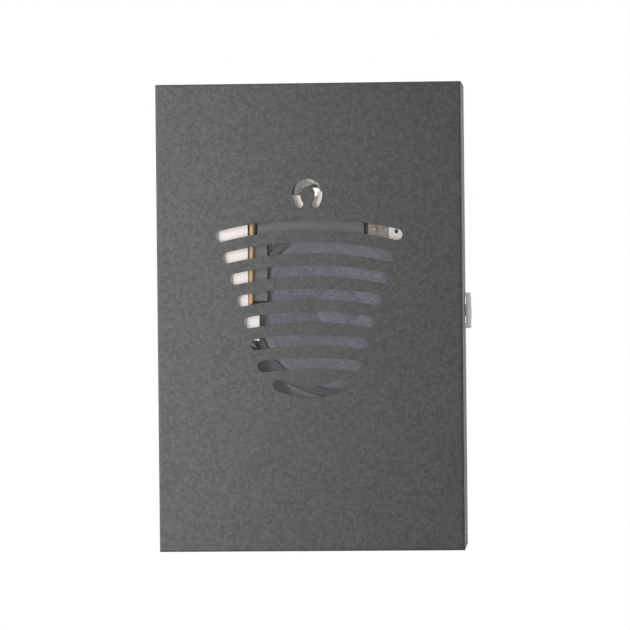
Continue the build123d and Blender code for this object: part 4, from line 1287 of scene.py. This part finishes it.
@dataclass
class Studio:
    """Pale floor, soft lamps, a white surround and the camera that took the view."""

    azimuth: float = 3.807
    elevation: float = 0.537
    roll: float = -0.581
    distance: float = 1277.5
    focal_px: float = 3992.0
    image_px: float = 630.0
    centre_offset_px: tuple[float, float] = (5.456, 2.251)
    aim: Point = (0.0, 36.0, 0.0)
    surround_level: float = 0.04
    clip_range: tuple[float, float] = (0.05, 50.0)
    floor_drop: float = 300.0
    floor_half: float = 2000.0
    floor_lift: float = 0.45
    # Each panel's name, place, target, width and height, and watts
    lamps: list[tuple[str, Point, Point, tuple[float, float], float]] = field(default_factory=lambda: [
        ("near_strip", (-100.0, 145.0, 8.0), (0.0, 36.0, 8.0), (40.0, 300.0), 0.32),
        ("front_panel", (220.0, 1280.0, 12.0), (0.0, 36.0, 0.0), (250.0, 250.0), 3.4),
        ("right_panel", (420.0, 20.0, 330.0), (49.0, 18.0, 20.0), (200.0, 300.0), 1.1),
        ("left_panel", (-420.0, -60.0, 60.0), (-49.0, 18.0, 0.0), (300.0, 500.0), 1.0),
        ("top_panel", (0.0, -80.0, 700.0), (0.0, 18.0, 75.0), (400.0, 400.0), 0.9),
        ("back_panel", (0.0, -900.0, 100.0), (0.0, 0.0, 0.0), (800.0, 800.0), 5.5),
    ])

    def camera(self) -> bpy.types.Object:
        """Set the camera at the fitted place, turned a hair so that the object sits off centre.

        Returns:
            The scene's camera.
        """
        azimuth, elevation, roll = (math.radians(a) for a in (self.azimuth, self.elevation, self.roll))
        back = Vector((math.sin(azimuth) * math.cos(elevation), -math.cos(azimuth) * math.cos(elevation),
                       math.sin(elevation)))
        level = Vector((0, 0, 1)).cross(back).normalized()
        upright = back.cross(level)
        across = level * math.cos(roll) + upright * math.sin(roll)
        above = upright * math.cos(roll) - level * math.sin(roll)
        shift_x, shift_y = (px / self.focal_px for px in self.centre_offset_px)
        forward = (-back + across * shift_x + above * shift_y).normalized()
        across = (across - forward * across.dot(forward)).normalized()
        above = across.cross(forward)
        data = bpy.data.cameras.new("camera")
        data.lens = self.focal_px / self.image_px * data.sensor_width
        data.clip_start, data.clip_end = self.clip_range
        camera = bpy.data.objects.new("camera", data)
        axes = Matrix((across, above, -forward)).transposed().to_4x4()
        camera.matrix_world = Matrix.Translation(place(*self.aim) + back * self.distance * MM) @ axes
        bpy.context.scene.collection.objects.link(camera)
        bpy.context.scene.camera = camera
        return camera

    def lamp(self, name: str, spot: Point, target: Point, size: tuple[float, float], watts: float) -> None:
        """Hang one soft panel that the camera itself doesn't see.

        Args:
            name: the lamp's name.
            spot: its place.
            target: what it points at.
            size: its width and height.
            watts: its power.
        """
        data = bpy.data.lights.new(name, "AREA")
        data.shape, data.energy = "RECTANGLE", watts
        data.size, data.size_y = size[0] * MM, size[1] * MM
        lamp = bpy.data.objects.new(name, data)
        lamp.location = place(*spot)
        lamp.rotation_euler = (place(*target) - place(*spot)).to_track_quat("-Z", "Y").to_euler()
        lamp.visible_camera = False
        bpy.context.scene.collection.objects.link(lamp)

    @staticmethod
    def seen_directly(tree: bpy.types.NodeTree) -> bpy.types.NodeSocket:
        """Tell the rays that see the surround from those that only light the object.

        Args:
            tree: the node tree of the world or of the floor.

        Returns:
            One for rays that see it straight, in gloss or through glass, and else zero.
        """
        path = add_node(tree, "ShaderNodeLightPath")
        mirrored = add_node(tree, "ShaderNodeMath",
                            links={0: path.outputs["Is Camera Ray"], 1: path.outputs["Is Glossy Ray"]},
                            operation="MAXIMUM")
        through = add_node(tree, "ShaderNodeMath",
                           links={0: mirrored.outputs[0], 1: path.outputs["Is Transmission Ray"]},
                           operation="MAXIMUM")
        return through.outputs[0]

    def surround(self) -> None:
        """White where it is seen, and a soft even level where it lights the object."""
        world = bpy.data.worlds.new("surround")
        world.use_nodes = True
        tree = world.node_tree
        tree.nodes.clear()
        level = add_node(tree, "ShaderNodeMapRange", {"To Min": self.surround_level, "To Max": 1.0},
                         {"Value": self.seen_directly(tree)})
        sky = add_node(tree, "ShaderNodeBackground", {"Color": (1.0, 1.0, 1.0, 1.0)},
                       {"Strength": level.outputs["Result"]})
        add_node(tree, "ShaderNodeOutputWorld", links={"Surface": sky.outputs["Background"]})
        bpy.context.scene.world = world

    def floor(self) -> None:
        """A pale matt floor some way below the hung box, which keeps the box's soft shadow."""
        low = CAD_BOX[0].z - self.floor_drop * MM
        half = self.floor_half * MM
        sides = ((-half, -half), (half, -half), (half, half), (-half, half))
        corners = [Vector((x, y, low)) for x, y in sides]
        floor = mesh_object("floor", corners, [(0, 1, 2, 3)], smooth=False)
        material = bpy.data.materials.new("matt_emulsion_white")
        material.use_nodes = True
        tree = material.node_tree
        tree.nodes.clear()
        matt = add_node(tree, "ShaderNodeBsdfDiffuse", {"Color": linear("E6E6E4")})
        lift = add_node(tree, "ShaderNodeMath", {1: self.floor_lift}, {0: self.seen_directly(tree)},
                        operation="MULTIPLY")
        glow = add_node(tree, "ShaderNodeEmission", {"Color": (1.0, 1.0, 1.0, 1.0)},
                        {"Strength": lift.outputs[0]})
        both = add_node(tree, "ShaderNodeAddShader",
                        links={0: matt.outputs["BSDF"], 1: glow.outputs["Emission"]})
        add_node(tree, "ShaderNodeOutputMaterial", links={"Surface": both.outputs["Shader"]})
        floor.data.materials.append(material)

    def build(self) -> None:
        """Set up everything that isn't the object."""
        self.camera()
        self.surround()
        self.floor()
        for lamp in self.lamps:
            self.lamp(*lamp)
        bpy.context.scene.view_settings.view_transform = "Standard"


def main() -> None:
    """Build the scene round the frame."""
    logging.basicConfig(level=logging.INFO, format="%(name)s: %(message)s")
    Studio().build()
    dress_nodes()
    for group in (Housing(), Loudspeaker(), Leads(), Fixings(), BoardParts()):
        group.build()


if __name__ == "__main__":
    main()
